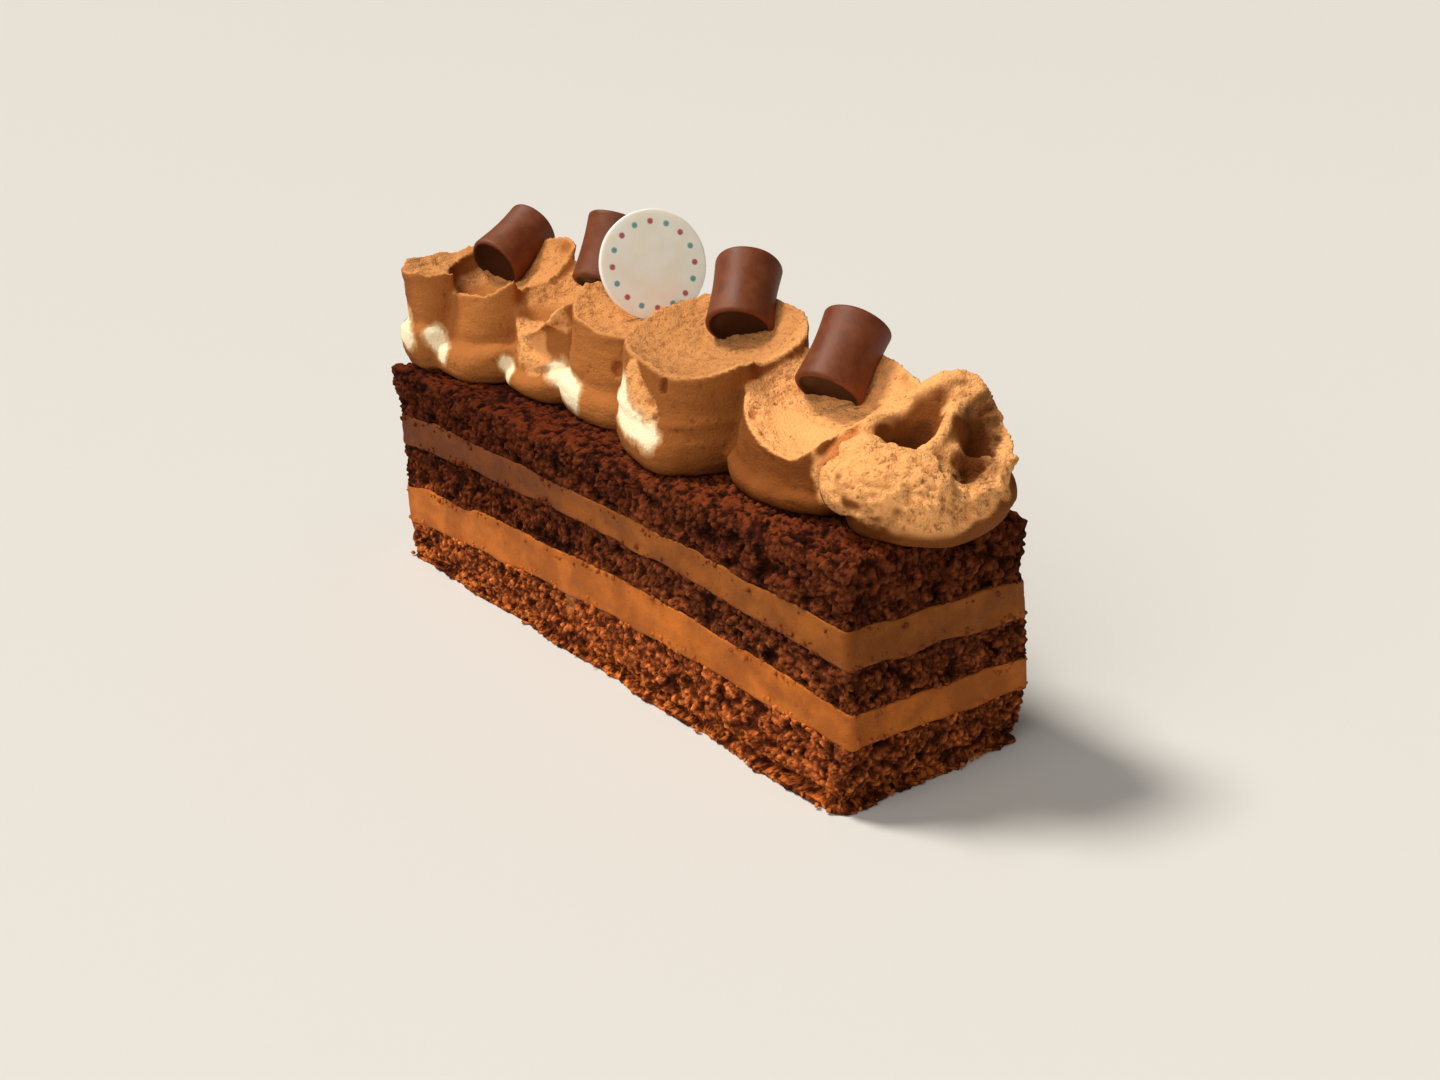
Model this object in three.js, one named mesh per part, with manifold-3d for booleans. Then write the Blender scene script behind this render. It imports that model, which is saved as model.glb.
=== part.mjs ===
// A bar of chocolate layer cake: three sponges, two mousse fillings, one piped ruffle of
// whipped cream, four small chocolates and a decorating disc.
// Millimetres, +Z up. +X runs along the bar to the end where the ruffle has its tail, -Y is
// the long side that shows in front, and the origin is the middle of the flat underside.
import * as THREE from "three";
import { ConvexGeometry } from "three/addons/geometries/ConvexGeometry.js";
import { mergeVertices } from "three/addons/utils/BufferGeometryUtils.js";
import Module from "manifold-3d";

const gap = 0.3; // air between pieces that touch
const cakeHeight = 44;

// Distance from the middle to each side, at five equal steps from the underside to the top.
const sides = {
  far: [72.2, 74.8, 76, 75.8, 80.3],
  near: [73, 75.5, 74.5, 72.8, 73.4],
  front: [21.6, 21.2, 21, 21, 21.3],
  back: [22.6, 22.1, 22, 21.7, 21.2],
};

// Heights of the layer boundaries along the front, and their rise for each mm towards the back.
const boundaries = {
  under: { far: 0, middle: 0, near: 0, rise: 0 },
  lowerMousseUnder: { far: 8.4, middle: 13, near: 13.4, rise: -0.03 },
  lowerMousseTop: { far: 16.2, middle: 21, near: 19.2, rise: -0.045 },
  upperMousseUnder: { far: 27, middle: 29.5, near: 27.2, rise: -0.04 },
  upperMousseTop: { far: 33.6, middle: 34.8, near: 33.2, rise: -0.03 },
  top: { far: 44.5, middle: 44, near: 45, rise: 0 },
};
const sponge = { colour: "#4a2416", roughness: 0.95, wavy: 0.45 };
const mousse = { colour: "#8a5530", roughness: 0.7, wavy: 0.15 };
const layers = [
  { name: "sponge_bottom", from: "under", to: "lowerMousseUnder", stuff: sponge },
  { name: "mousse_lower", from: "lowerMousseUnder", to: "lowerMousseTop", stuff: mousse },
  { name: "sponge_middle", from: "lowerMousseTop", to: "upperMousseUnder", stuff: sponge },
  { name: "mousse_upper", from: "upperMousseUnder", to: "upperMousseTop", stuff: mousse },
  { name: "sponge_top", from: "upperMousseTop", to: "top", stuff: sponge, rounding: 2.6 },
];
const layerSegments = { long: 16, across: 6, high: 2 };
const wave = { along: 0.19, across: 0.31, up: 0.9, skew: 0.5 }; // radians for each mm
const topEdge = { long: 0.8, end: 0.56 }; // how much of a round edge the two kinds of side have

// The ruffle's lobes from the far end to the tail. foot and rim are ovals: middle x and y,
// half length and half width. height is the rim's mean height and its rise at +X and at +Y.
// turn is in degrees, roll and waist are shares of the oval, rollAt is a share of the height,
// dip lowers the rim in front, and dish is how deep the top is hollowed.
const lobes = [
  {
    foot: [-72.6, -6.4, 7.2, 11.2], rim: [-72.2, -8.4, 7.8, 10.6], height: [67.2, -0.3, 1.2],
    turn: 0, roll: 1.15, rollAt: 0.4, waist: 0.945, dip: 0, dish: 1.6,
  },
  {
    foot: [-62.4, -2.6, 15.2, 13.2], rim: [-60, 0.5, 15.5, 12.5], height: [67, 2.5, 5],
    turn: -4, roll: 1.14, rollAt: 0.32, waist: 0.93, dip: 0, dish: 6.4,
  },
  {
    foot: [-39.5, 0.8, 11.6, 12.2], rim: [-39.3, 2.8, 10.8, 12], height: [66.8, 1, 5],
    turn: -4, roll: 1.08, rollAt: 0.25, waist: 0.93, dip: 4, dish: 5,
  },
  {
    foot: [-16.8, 0.8, 15.2, 11.8], rim: [-17, 1.8, 12.8, 10.8], height: [66.2, -2.4, 1],
    turn: -8, roll: 1.08, rollAt: 0.25, waist: 0.945, dip: 1.6, dish: 2.4,
  },
  {
    foot: [13.6, -2.2, 14, 17], rim: [12.5, 0, 18.5, 15], height: [67.2, -1, 4.3],
    turn: -8, roll: 1.06, rollAt: 0.36, waist: 1, dip: 0, dish: 4.4,
  },
  {
    foot: [41.3, 0.2, 15.2, 13.4], rim: [44.6, 0.5, 16.2, 13.5], height: [61.8, -3.4, 5.5],
    turn: -6, roll: 1.09, rollAt: 0.36, waist: 0.98, dip: 1, dish: 4.6, joinsTail: true,
  },
  {
    foot: [66.3, 1.8, 11, 12.8], rim: [68.4, 2.4, 11.6, 11.8], height: [58, 0.5, 5],
    turn: 0, roll: 1.12, rollAt: 0.5, waist: 0.945, dip: 0, dish: 0, isTail: true,
  },
];
const ovalSharpness = 2.6; // 2 is an ellipse, more is squarer
const lobeSegments = 22;
const crestLevel = 0.94; // share of a lobe's height at which its wall turns in

// The tail's top: crest lines with the roundness and the steepness of the ridges under them,
// pits between the ridges, and a ground that falls towards the front.
const tail = {
  blend: 0.5,
  ground: { level: 57.6, fall: 0.4, heading: -38.6 },
  ridges: [
    {
      line: [[55.5, -10.5, 59.6], [59.4, -6.5, 62.8], [60.8, -2, 65], [61.6, 2, 66.8], [62, 5, 68.2]],
      round: 1.7, steep: 2.6,
    },
    {
      line: [
        [62, 5, 68.2], [62.6, 8, 69.2], [64, 11.2, 69.4], [66.5, 13, 68.6], [70, 13.8, 65.6],
        [73.5, 13, 61.8], [76.8, 11.5, 58.4], [79, 8.5, 55.6], [79.8, 4, 54], [79, -1, 53.6],
        [77, -6, 51.8], [73.5, -11, 49.6],
      ],
      round: 2, steep: 1.6,
    },
    {
      line: [
        [68.2, 11.4, 67.8], [68, 7, 67.2], [68, 3.6, 65.8], [68.4, 0, 62.8], [69, -3.2, 60],
        [68.5, -6, 59],
      ],
      round: 1.7, steep: 3,
    },
    { line: [[61.5, -8.2, 58.6], [66.5, -7.6, 60.8], [71, -5.4, 60]], round: 6, steep: 1.2 },
    { line: [[70.4, 2.4, 60.4], [72, 4, 60.2], [74.6, 6.6, 59.4]], round: 1, steep: 2 },
    { line: [[75.8, 4.5, 57.6], [76.7, 9, 58.6]], round: 2.6, steep: 1.2 },
  ],
  pits: [
    { at: [64.5, 0.8], depth: 13, radius: 3.3 },
    { at: [63.2, -3.2], depth: 4, radius: 2.2 },
    { at: [70.8, 9], depth: 8, radius: 3.1 },
    { at: [74.4, 3.2], depth: 3.2, radius: 2.1 },
  ],
};

// The tail's ball: rough lumps of cream folded to the front.
const lumps = [
  { at: [67.4, -8.2, 54], half: [11, 7.6, 6.2], turn: 22 },
  { at: [63, -8.8, 57.2], half: [4.6, 4.6, 4.4], turn: 0 },
  { at: [72.6, -6.4, 53.6], half: [6.6, 5.8, 5.6], turn: 40 },
  { at: [61.6, -11.2, 53], half: [4.8, 4.6, 4.8], turn: 0 },
];

// Corners of the wedge that is torn out of the third lobe.
const dent = [
  [-43.5, -10.8, 54.2], [-30.5, -12, 62.5], [-30.5, -4.8, 61.2], [-30.5, -12, 51],
  [-30.5, -4.8, 52], [-31.5, -4.4, 57],
];

// Chocolates: the middle of the lower face, the lean from upright and its heading in degrees.
const chocolates = [
  { at: [-68.7, 1.2, 65.5], lean: 63, heading: 104 },
  { at: [-33.8, 6.1, 66.3], lean: 31, heading: 114 },
  { at: [13, 5.2, 66.9], lean: 48, heading: 131 },
  { at: [40.6, 2.9, 61.3], lean: 44, heading: 107 },
];
const chocolate = { endRadius: 6.45, waistRadius: 6.1, length: 14.6, edge: 0.9 };
const chocolateSegments = 14;

const disc = { at: [-17, 7.3, 73.6], radius: 11.1, thick: 1.2, edge: 0.25, lean: 74, heading: -19 };
const discSegments = 28;

const { lerp, clamp, degToRad, smoothstep } = THREE.MathUtils;
const wasm = await Module();
wasm.setup();

function toSolid(geometry) {
  const plain = geometry.clone();
  plain.deleteAttribute("normal");
  plain.deleteAttribute("uv");
  const closed = mergeVertices(plain, 1e-4);
  return new wasm.Manifold(
    new wasm.Mesh({
      numProp: 3,
      vertProperties: closed.getAttribute("position").array,
      triVerts: new Uint32Array(closed.index.array),
    }),
  );
}

function toGeometry(solid) {
  const mesh = solid.getMesh();
  const geometry = new THREE.BufferGeometry();
  geometry.setAttribute("position", new THREE.BufferAttribute(mesh.vertProperties, 3));
  geometry.setIndex(new THREE.BufferAttribute(mesh.triVerts, 1));
  geometry.computeVertexNormals();
  return geometry;
}

function named(name, geometry, colour, roughness) {
  const material = new THREE.MeshStandardMaterial({ color: colour, roughness, metalness: 0 });
  const mesh = new THREE.Mesh(geometry, material);
  mesh.name = name;
  return mesh;
}

// Leans an object over from upright, turns it about Z and sets it down.
function stand(object, { at, lean, heading }) {
  object.rotation.set(0, degToRad(lean), degToRad(heading), "ZYX");
  object.position.set(...at);
  object.updateMatrix();
  return object;
}

// Moves every point of a geometry to where the given function puts it.
function reshape(geometry, place) {
  const points = geometry.getAttribute("position");
  const point = new THREE.Vector3();
  for (let i = 0; i < points.count; i++) {
    point.fromBufferAttribute(points, i);
    place(point);
    points.setXYZ(i, point.x, point.y, point.z);
  }
  geometry.computeVertexNormals();
  return geometry;
}

// Sponge and mousse layers

function sideAt(side, z) {
  const steps = sides[side].length - 1;
  const step = clamp((z / cakeHeight) * steps, 0, steps);
  const below = Math.min(Math.floor(step), steps - 1);
  return lerp(sides[side][below], sides[side][below + 1], step - below);
}

function boundaryAt(boundary, x, y) {
  const { far, middle, near, rise } = boundaries[boundary];
  const t = x / sides.near[0];
  const bend = (far + near) / 2 - middle;
  return middle + ((near - far) / 2) * t + bend * t * t + rise * (y + sides.front[0]);
}

// How much lower a round edge is at a distance from the side.
function edgeDrop(rounding, distance) {
  const inside = clamp(1 - distance / rounding, 0, 1);
  return rounding * (1 - Math.sqrt(1 - inside * inside));
}

function makeLayer({ from, to, stuff, rounding }) {
  const { long, across, high } = layerSegments;
  const box = new THREE.BoxGeometry(2, 2, 1, long, across, high);
  const clearBelow = from === "under" ? 0 : gap / 2;
  const clearAbove = to === "top" ? 0 : gap / 2;
  return reshape(box, (point) => {
    const alongShare = Math.sin((point.x * Math.PI) / 2);
    const acrossShare = Math.sin((point.y * Math.PI) / 2);
    const roughX = alongShare * sides.near[0];
    const roughY = acrossShare * sides.front[0];
    const low = boundaryAt(from, roughX, roughY) + clearBelow;
    let top = boundaryAt(to, roughX, roughY) - clearAbove;
    if (rounding) {
      top -= topEdge.long * edgeDrop(rounding, sides.front[0] * (1 - Math.abs(acrossShare)));
      top -= topEdge.end * edgeDrop(rounding, sides.near[0] * (1 - Math.abs(alongShare)));
    }
    const z = lerp(low, top, point.z + 0.5);
    const crosswise = Math.cos(wave.across * roughY - wave.skew * z);
    const ripple = Math.sin(wave.along * roughX + wave.up * z) * crosswise;
    const side = alongShare < 0 ? "far" : "near";
    const face = acrossShare < 0 ? "front" : "back";
    point.x = alongShare * (sideAt(side, z) + stuff.wavy * ripple);
    point.y = acrossShare * (sideAt(face, z) - stuff.wavy * ripple);
    point.z = z;
  });
}

// The tail's top

// Height of the nearest point of a line and the distance to it, seen from above.
function nearestOnLine(line, x, y) {
  let best = { height: 0, away: Infinity };
  for (let i = 1; i < line.length; i++) {
    const [ax, ay, az] = line[i - 1];
    const [bx, by, bz] = line[i];
    const length = (bx - ax) ** 2 + (by - ay) ** 2;
    const share = clamp(((x - ax) * (bx - ax) + (y - ay) * (by - ay)) / length, 0, 1);
    const away = Math.hypot(x - lerp(ax, bx, share), y - lerp(ay, by, share));
    if (away < best.away) {
      best = { height: lerp(az, bz, share), away };
    }
  }
  return best;
}

// The largest of some heights, with the change from one to the next rounded off.
function softMaximum(heights, blend) {
  const most = Math.max(...heights);
  const sum = heights.reduce((total, height) => total + Math.exp((height - most) / blend), 0);
  return most + blend * Math.log(sum);
}

// A ridge is round near its crest line, and beyond that its sides fall straight.
function ridgeHeight({ line, round, steep }, x, y) {
  const { height, away } = nearestOnLine(line, x, y);
  const near = Math.min(away, 0.8 * round);
  return height - round + Math.sqrt(round * round - near * near) - (away - near) * steep;
}

function tailTop(x, y) {
  const [middleX, middleY] = lobes.at(-1).rim;
  const { level, fall, heading } = tail.ground;
  const angle = degToRad(heading);
  const toFront = Math.cos(angle) * (x - middleX) + Math.sin(angle) * (y - middleY);
  const ridges = tail.ridges.map((ridge) => ridgeHeight(ridge, x, y));
  let top = softMaximum([level - fall * toFront, ...ridges], tail.blend);
  for (const pit of tail.pits) {
    const away = Math.hypot(x - pit.at[0], y - pit.at[1]) / pit.radius;
    top -= pit.depth * Math.exp(-away * away);
  }
  return top;
}

// The piped ruffle

// A lobe's section: a foot roll, a crease, a hollow wall and a thin crest.
// Each point is a share of the oval's radius and a share of the height from foot to rim.
function wallSection({ roll, rollAt, waist }) {
  const crease = rollAt + 0.2;
  return [
    [0, 0],
    [roll - 0.3, 0],
    [roll - 0.11, rollAt * 0.26],
    [roll, rollAt],
    [roll - 0.03, rollAt + 0.1],
    [(waist + roll) / 2 - 0.03, crease],
    [waist, lerp(crease, crestLevel, 0.4)],
    [1, 0.97],
    [0.97, 1],
  ];
}

// The top from near the rim to the middle: a dish, or the tail's own shape.
function topSection(lobe) {
  if (lobe.isTail) {
    return [0.88, 0.78, 0.67, 0.56, 0.45, 0.34, 0.23, 0.12, 0].map((share) => [share, 1]);
  }
  const depth = lobe.dish / (lobe.height[0] - cakeHeight);
  return [[0.6, 1 - depth * 0.8], [0, 1 - depth]];
}

// A point of an oval, by its direction round the oval.
function onOval([middleX, middleY, halfLength, halfWidth], turn, direction, share) {
  const power = 2 / ovalSharpness;
  const along = Math.sign(Math.cos(direction)) * Math.abs(Math.cos(direction)) ** power;
  const across = Math.sign(Math.sin(direction)) * Math.abs(Math.sin(direction)) ** power;
  const x = share * halfLength * along;
  const y = share * halfWidth * across;
  const angle = degToRad(turn);
  return new THREE.Vector2(
    middleX + x * Math.cos(angle) - y * Math.sin(angle),
    middleY + x * Math.sin(angle) + y * Math.cos(angle),
  );
}

function rimHeightAt(lobe, direction, share, rim) {
  if (lobe.isTail) {
    return tailTop(rim.x, rim.y);
  }
  const [mean, riseX, riseY] = lobe.height;
  const dip = lobe.dip * Math.max(0, -Math.sin(direction)) ** 3;
  return mean + share * (riseX * Math.cos(direction) + riseY * Math.sin(direction) - dip);
}

// Turns a lathe about Z and fits it to a lobe's foot and rim.
function makeLobe(lobe, section) {
  const profile = section.map(([share, level]) => new THREE.Vector2(share, level));
  const lathe = new THREE.LatheGeometry(profile, lobeSegments).rotateX(Math.PI / 2);
  return reshape(lathe, (point) => {
    const share = Math.hypot(point.x, point.y);
    const direction = Math.atan2(point.y, point.x);
    const level = point.z;
    const mix = clamp(level, 0, 1);
    const foot = onOval(lobe.foot, lobe.turn, direction, share);
    const rim = onOval(lobe.rim, lobe.turn, direction, share);
    const place = foot.clone().lerp(rim, mix);
    const rimHeight = rimHeightAt(lobe, direction, share, rim);
    const footHeight = boundaryAt("top", place.x, place.y) + gap;
    let z = lerp(footHeight, rimHeight, level);
    if (lobe.joinsTail) {
      const top = share < 0.9 ? z : rimHeight;
      const lift = softMaximum([top, tailTop(place.x, place.y)], 1) - top;
      z += lift * mix ** 4 * smoothstep(place.x, 50, 56);
    }
    point.set(place.x, place.y, z);
  });
}

function makeLump({ at, half, turn }) {
  const ball = new THREE.IcosahedronGeometry(1, 2).scale(...half);
  return ball.rotateZ(degToRad(turn)).translate(...at);
}

// Each lobe clears its hollow out of the lobes piped before it, then joins them.
function makeRuffle(inserts) {
  let ruffle = null;
  for (const lobe of lobes) {
    const top = topSection(lobe);
    const drum = toSolid(makeLobe(lobe, [...wallSection(lobe), ...top]));
    if (!ruffle) {
      ruffle = drum;
      continue;
    }
    const above = [...top.toReversed(), [0.94, 1], [0.98, 1.1], [0.98, 1.9], [0, 1.9]];
    ruffle = ruffle.subtract(toSolid(makeLobe(lobe, above))).add(drum);
  }
  for (const lump of lumps) {
    ruffle = ruffle.add(toSolid(makeLump(lump)));
  }
  const wedge = new ConvexGeometry(dent.map((corner) => new THREE.Vector3(...corner)));
  ruffle = ruffle.subtract(toSolid(wedge));
  for (const insert of inserts) {
    ruffle = ruffle.subtract(toSolid(insert));
  }
  return toGeometry(ruffle);
}

// Chocolates and disc, lying in their own frames with their axes upright

// extra makes the same shape a little larger, for the socket in the cream.
function makeBarrel(extra = 0) {
  const { endRadius, waistRadius, length, edge } = chocolate;
  const steps = 4;
  const profile = [new THREE.Vector2(0, -extra), new THREE.Vector2(endRadius - edge + extra, -extra)];
  for (let step = 0; step <= steps; step++) {
    const share = step / steps;
    const waist = Math.sin(share * Math.PI);
    const radius = lerp(endRadius, waistRadius, waist) + extra;
    profile.push(new THREE.Vector2(radius, lerp(edge, length - edge, share)));
  }
  profile.push(new THREE.Vector2(endRadius - edge + extra, length + extra));
  profile.push(new THREE.Vector2(0, length + extra));
  return new THREE.LatheGeometry(profile, chocolateSegments).rotateX(Math.PI / 2);
}

function makePlate(extra = 0) {
  const { radius, thick, edge } = disc;
  const half = thick / 2 + extra;
  const wide = radius + extra;
  const profile = [[0, -half], [wide - edge, -half], [wide, edge - half], [wide, half - edge]];
  profile.push([wide - edge, half], [0, half]);
  const points = profile.map(([r, z]) => new THREE.Vector2(r, z));
  return new THREE.LatheGeometry(points, discSegments).rotateX(Math.PI / 2);
}

// The whole cake

const cake = new THREE.Group();
for (const layer of layers) {
  cake.add(named(layer.name, makeLayer(layer), layer.stuff.colour, layer.stuff.roughness));
}
const toppings = chocolates.map((place, index) => {
  return stand(named(`chocolate_${index + 1}`, makeBarrel(), "#5a3325", 0.45), place);
});
const plate = stand(named("topper_disc", makePlate(), "#eee3cf", 0.4), disc);
const sockets = toppings.map((topping) => makeBarrel(gap).applyMatrix4(topping.matrix));
sockets.push(makePlate(gap).applyMatrix4(plate.matrix));
cake.add(named("piped_cream", makeRuffle(sockets), "#b9824f", 0.75), ...toppings, plate);

export default cake;
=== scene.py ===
import math
import time

import bmesh
import bpy
import numpy as np
from mathutils import Matrix, Quaternion, Vector


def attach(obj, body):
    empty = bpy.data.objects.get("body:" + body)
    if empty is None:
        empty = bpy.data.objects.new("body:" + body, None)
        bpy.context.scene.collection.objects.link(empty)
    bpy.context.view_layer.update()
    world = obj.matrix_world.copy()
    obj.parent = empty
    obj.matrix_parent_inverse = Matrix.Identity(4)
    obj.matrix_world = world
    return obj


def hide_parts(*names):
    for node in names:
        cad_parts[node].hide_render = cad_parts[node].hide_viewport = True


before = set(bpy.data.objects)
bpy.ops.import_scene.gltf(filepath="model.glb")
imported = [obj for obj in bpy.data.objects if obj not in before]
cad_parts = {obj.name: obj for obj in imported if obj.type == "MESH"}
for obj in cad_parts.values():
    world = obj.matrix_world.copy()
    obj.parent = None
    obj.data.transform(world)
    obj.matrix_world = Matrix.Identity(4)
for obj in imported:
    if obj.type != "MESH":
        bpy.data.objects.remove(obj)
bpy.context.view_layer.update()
startTime = time.time()

# Everything is modelled in millimetres, and each finished mesh is then scaled to metres.
mm = 0.001


def report(stage):
    print(f"{stage}: {time.time() - startTime:.1f} s")


# Arithmetic on node sockets, for materials and for geometry nodes.
class Wire:
    def __init__(self, graph, socket):
        self.graph = graph
        self.socket = socket

    def calculate(self, operation, *values):
        return self.graph.add("ShaderNodeMath", {"operation": operation}, dict(enumerate(values)))

    def __add__(self, other):
        return self.calculate("ADD", self, other)

    def __sub__(self, other):
        return self.calculate("SUBTRACT", self, other)

    def __mul__(self, other):
        return self.calculate("MULTIPLY", self, other)

    def __truediv__(self, other):
        return self.calculate("DIVIDE", self, other)

    __radd__ = __add__
    __rmul__ = __mul__

    def __rsub__(self, other):
        return self.calculate("SUBTRACT", other, self)

    def __rtruediv__(self, other):
        return self.calculate("DIVIDE", other, self)

    def least(self, other):
        return self.calculate("MINIMUM", self, other)

    def most(self, other):
        return self.calculate("MAXIMUM", self, other)

    # 0 below low, 1 above high, and a smooth step between; low may be the larger one
    def step(self, low, high):
        settings = {"interpolation_type": "SMOOTHSTEP"}
        return self.graph.add("ShaderNodeMapRange", settings, {"Value": self, 1: low, 2: high})


class Graph:
    def __init__(self, tree):
        self.tree = tree

    def add(self, kind, settings=None, values=None, output=0):
        node = self.tree.nodes.new(kind)
        for name, value in (settings or {}).items():
            if name == "stops":
                self.setStops(node.color_ramp, value)
            else:
                setattr(node, name, value)
        for key, value in (values or {}).items():
            socket = node.inputs[key]
            if isinstance(value, Wire):
                self.tree.links.new(value.socket, socket)
            else:
                socket.default_value = value
        return Wire(self, node.outputs[output])

    def setStops(self, ramp, stops):
        while len(ramp.elements) < len(stops):
            ramp.elements.new(0.5)
        for element, (place, colour) in zip(ramp.elements, stops):
            element.position = place
            element.color = (*colour, 1)

    def vector(self, operation, *values):
        return self.add("ShaderNodeVectorMath", {"operation": operation}, dict(enumerate(values)))

    def scaled(self, vector, factor):
        return self.add("ShaderNodeVectorMath", {"operation": "SCALE"}, {0: vector, "Scale": factor})

    def part(self, vector, axis):
        return self.add("ShaderNodeSeparateXYZ", {}, {0: vector}, axis)

    def shifted(self, vector, **parts):
        return self.vector("ADD", vector, self.add("ShaderNodeCombineXYZ", {}, parts))

    def noise(self, vector, scale, detail=2, roughness=0.5, output=0):
        values = {"Vector": vector, "Scale": scale, "Detail": detail, "Roughness": roughness}
        return self.add("ShaderNodeTexNoise", {}, values, output)

    # distance to the nearest of the cells' middles, or with output 1 the cell's own chance colour
    def cells(self, vector, scale, output=0):
        return self.add("ShaderNodeTexVoronoi", {}, {"Vector": vector, "Scale": scale}, output)

    def blend(self, factor, first, second, way="MIX"):
        node = self.tree.nodes.new("ShaderNodeMix")
        node.data_type = "RGBA"
        node.blend_type = way
        for index, value in ((0, factor), (6, first), (7, second)):
            if isinstance(value, Wire):
                self.tree.links.new(value.socket, node.inputs[index])
            else:
                node.inputs[index].default_value = value if index == 0 else (*value, 1)
        return Wire(self, node.outputs[2])


def addObject(name, mesh):
    piece = bpy.data.objects.new(name, mesh)
    bpy.context.scene.collection.objects.link(piece)
    return piece


def meshFromArrays(name, points, faces):
    mesh = bpy.data.meshes.new(name)
    mesh.from_pydata(points.tolist(), [], faces)
    mesh.update()
    return addObject(name, mesh)


# The faces between two rings of a mesh, given by the numbers of their first points.
def ringFaces(low, high, count):
    around = np.arange(count)
    onward = (around + 1) % count
    return np.stack([low + around, low + onward, high + onward, high + around], 1).tolist()


# A tube of rings of equal length, closed by a fan at each end.
def ringMesh(name, rings):
    count = rings.shape[1]
    points = rings.reshape(-1, 3)
    around = np.arange(count)
    onward = (around + 1) % count
    faces = []
    for row in range(len(rings) - 1):
        faces += ringFaces(row * count, (row + 1) * count, count)
    ends = np.array([rings[0].mean(0), rings[-1].mean(0)])
    first, last = len(points), len(points) + 1
    top = (len(rings) - 1) * count
    faces += np.stack([onward, around, np.full(count, first)], 1).tolist()
    faces += np.stack([top + around, top + onward, np.full(count, last)], 1).tolist()
    return meshFromArrays(name, np.concatenate([points, ends]), faces)


# Applies a piece's modifiers and leaves a plain mesh.
def settle(piece):
    graph = bpy.context.evaluated_depsgraph_get()
    graph.update()
    mesh = bpy.data.meshes.new_from_object(piece.evaluated_get(graph))
    piece.modifiers.clear()
    old = piece.data
    piece.data = mesh
    bpy.data.meshes.remove(old)


def getPoints(piece):
    values = np.empty(len(piece.data.vertices) * 3)
    piece.data.vertices.foreach_get("co", values)
    return values.reshape(-1, 3)


def storeValues(piece, name, values):
    attribute = piece.data.attributes.new(name, "FLOAT", "POINT")
    attribute.data.foreach_set("value", np.asarray(values, dtype=np.float32))


# Scales a finished piece to metres and says where it belongs.
def finishPiece(piece, material, nodes=()):
    piece.data.transform(Matrix.Scale(mm, 4))
    piece.data.materials.clear()
    piece.data.materials.append(material)
    piece.data.shade_smooth()
    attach(piece, "root")
    if nodes:
        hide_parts(*nodes)


def smoothStep(value, low, high):
    share = np.clip((value - low) / (high - low), 0, 1)
    return share * share * (3 - 2 * share)


# Smooth noise between -1 and 1 with bumps of about the given size, in two or three dimensions.
def smoothNoise(points, size, seed):
    lattice = np.random.default_rng(seed).uniform(-1, 1, (32, 32, 32))
    place = np.stack(np.broadcast_arrays(*points), -1) / size
    if place.shape[-1] == 2:
        place = np.concatenate([place, np.zeros_like(place[..., :1])], -1)
    cell = np.floor(place).astype(int)
    share = place - cell
    share = share * share * (3 - 2 * share)
    total = np.zeros(place.shape[:-1])
    for corner in np.ndindex(2, 2, 2):
        weight = np.prod(np.where(corner, share, 1 - share), axis=-1)
        total += weight * lattice[tuple(((cell + corner) % 32)[..., axis] for axis in range(3))]
    return total


# The cake's outline and layers, as the frame has them.
cake = {
    "height": 44,
    "sides": {  # distance from the middle at five equal steps up
        "far": [72.2, 74.8, 76, 75.8, 80.3],
        "near": [73, 75.5, 74.5, 72.8, 73.4],
        "front": [21.6, 21.2, 21, 21, 21.3],
        "back": [22.6, 22.1, 22, 21.7, 21.2],
    },
    "boundaries": {  # height at the far end, middle and near end, and rise towards the back
        "under": (0, 0, 0, 0),
        "lowerMousseUnder": (8.4, 13, 13.4, -0.03),
        "lowerMousseTop": (16.2, 21, 19.2, -0.045),
        "upperMousseUnder": (27, 29.5, 27.2, -0.04),
        "upperMousseTop": (33.6, 34.8, 33.2, -0.03),
        "top": (44.5, 44, 45, 0),
    },
}


def sideAt(side, z):
    steps = np.linspace(0, cake["height"], 5)
    return np.interp(z, steps, cake["sides"][side])


def boundaryAt(name, x, y):
    far, middle, near, rise = cake["boundaries"][name]
    t = x / cake["sides"]["near"][0]
    bend = (far + near) / 2 - middle
    z = middle + (near - far) / 2 * t + bend * t * t + rise * (y + cake["sides"]["front"][0])
    if name == "under":
        return z
    seed = list(cake["boundaries"]).index(name)
    return z + 0.5 * smoothNoise((x, y), 8, seed) + 0.2 * smoothNoise((x, y), 2.6, seed + 10)


# Once round the cake's plan in shares of its half length and half width, counter-clockwise.
def planRing(spacing, cornerRadius):
    halfLength, halfWidth = cake["sides"]["near"][0], cake["sides"]["front"][0]
    flatX, flatY = halfLength - cornerRadius, halfWidth - cornerRadius
    alongX = np.linspace(-flatX, flatX, int(2 * flatX / spacing), endpoint=False)
    alongY = np.linspace(-flatY, flatY, int(2 * flatY / spacing), endpoint=False)
    turns = max(4, int(cornerRadius * math.pi / 2 / spacing))
    arc = np.linspace(0, math.pi / 2, turns, endpoint=False)

    def corner(x, y, start):
        return np.stack([x + cornerRadius * np.cos(start + arc), y + cornerRadius * np.sin(start + arc)], 1)

    def edge(x, y):
        return np.stack(np.broadcast_arrays(x, y), 1)

    ring = np.concatenate([
        edge(alongX, -halfWidth), corner(flatX, -flatY, -math.pi / 2),
        edge(halfLength, alongY), corner(flatX, flatY, 0),
        edge(-alongX, halfWidth), corner(-flatX, flatY, math.pi / 2),
        edge(-halfLength, -alongY), corner(-flatX, -flatY, math.pi),
    ])
    return ring / [halfLength, halfWidth]


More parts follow.
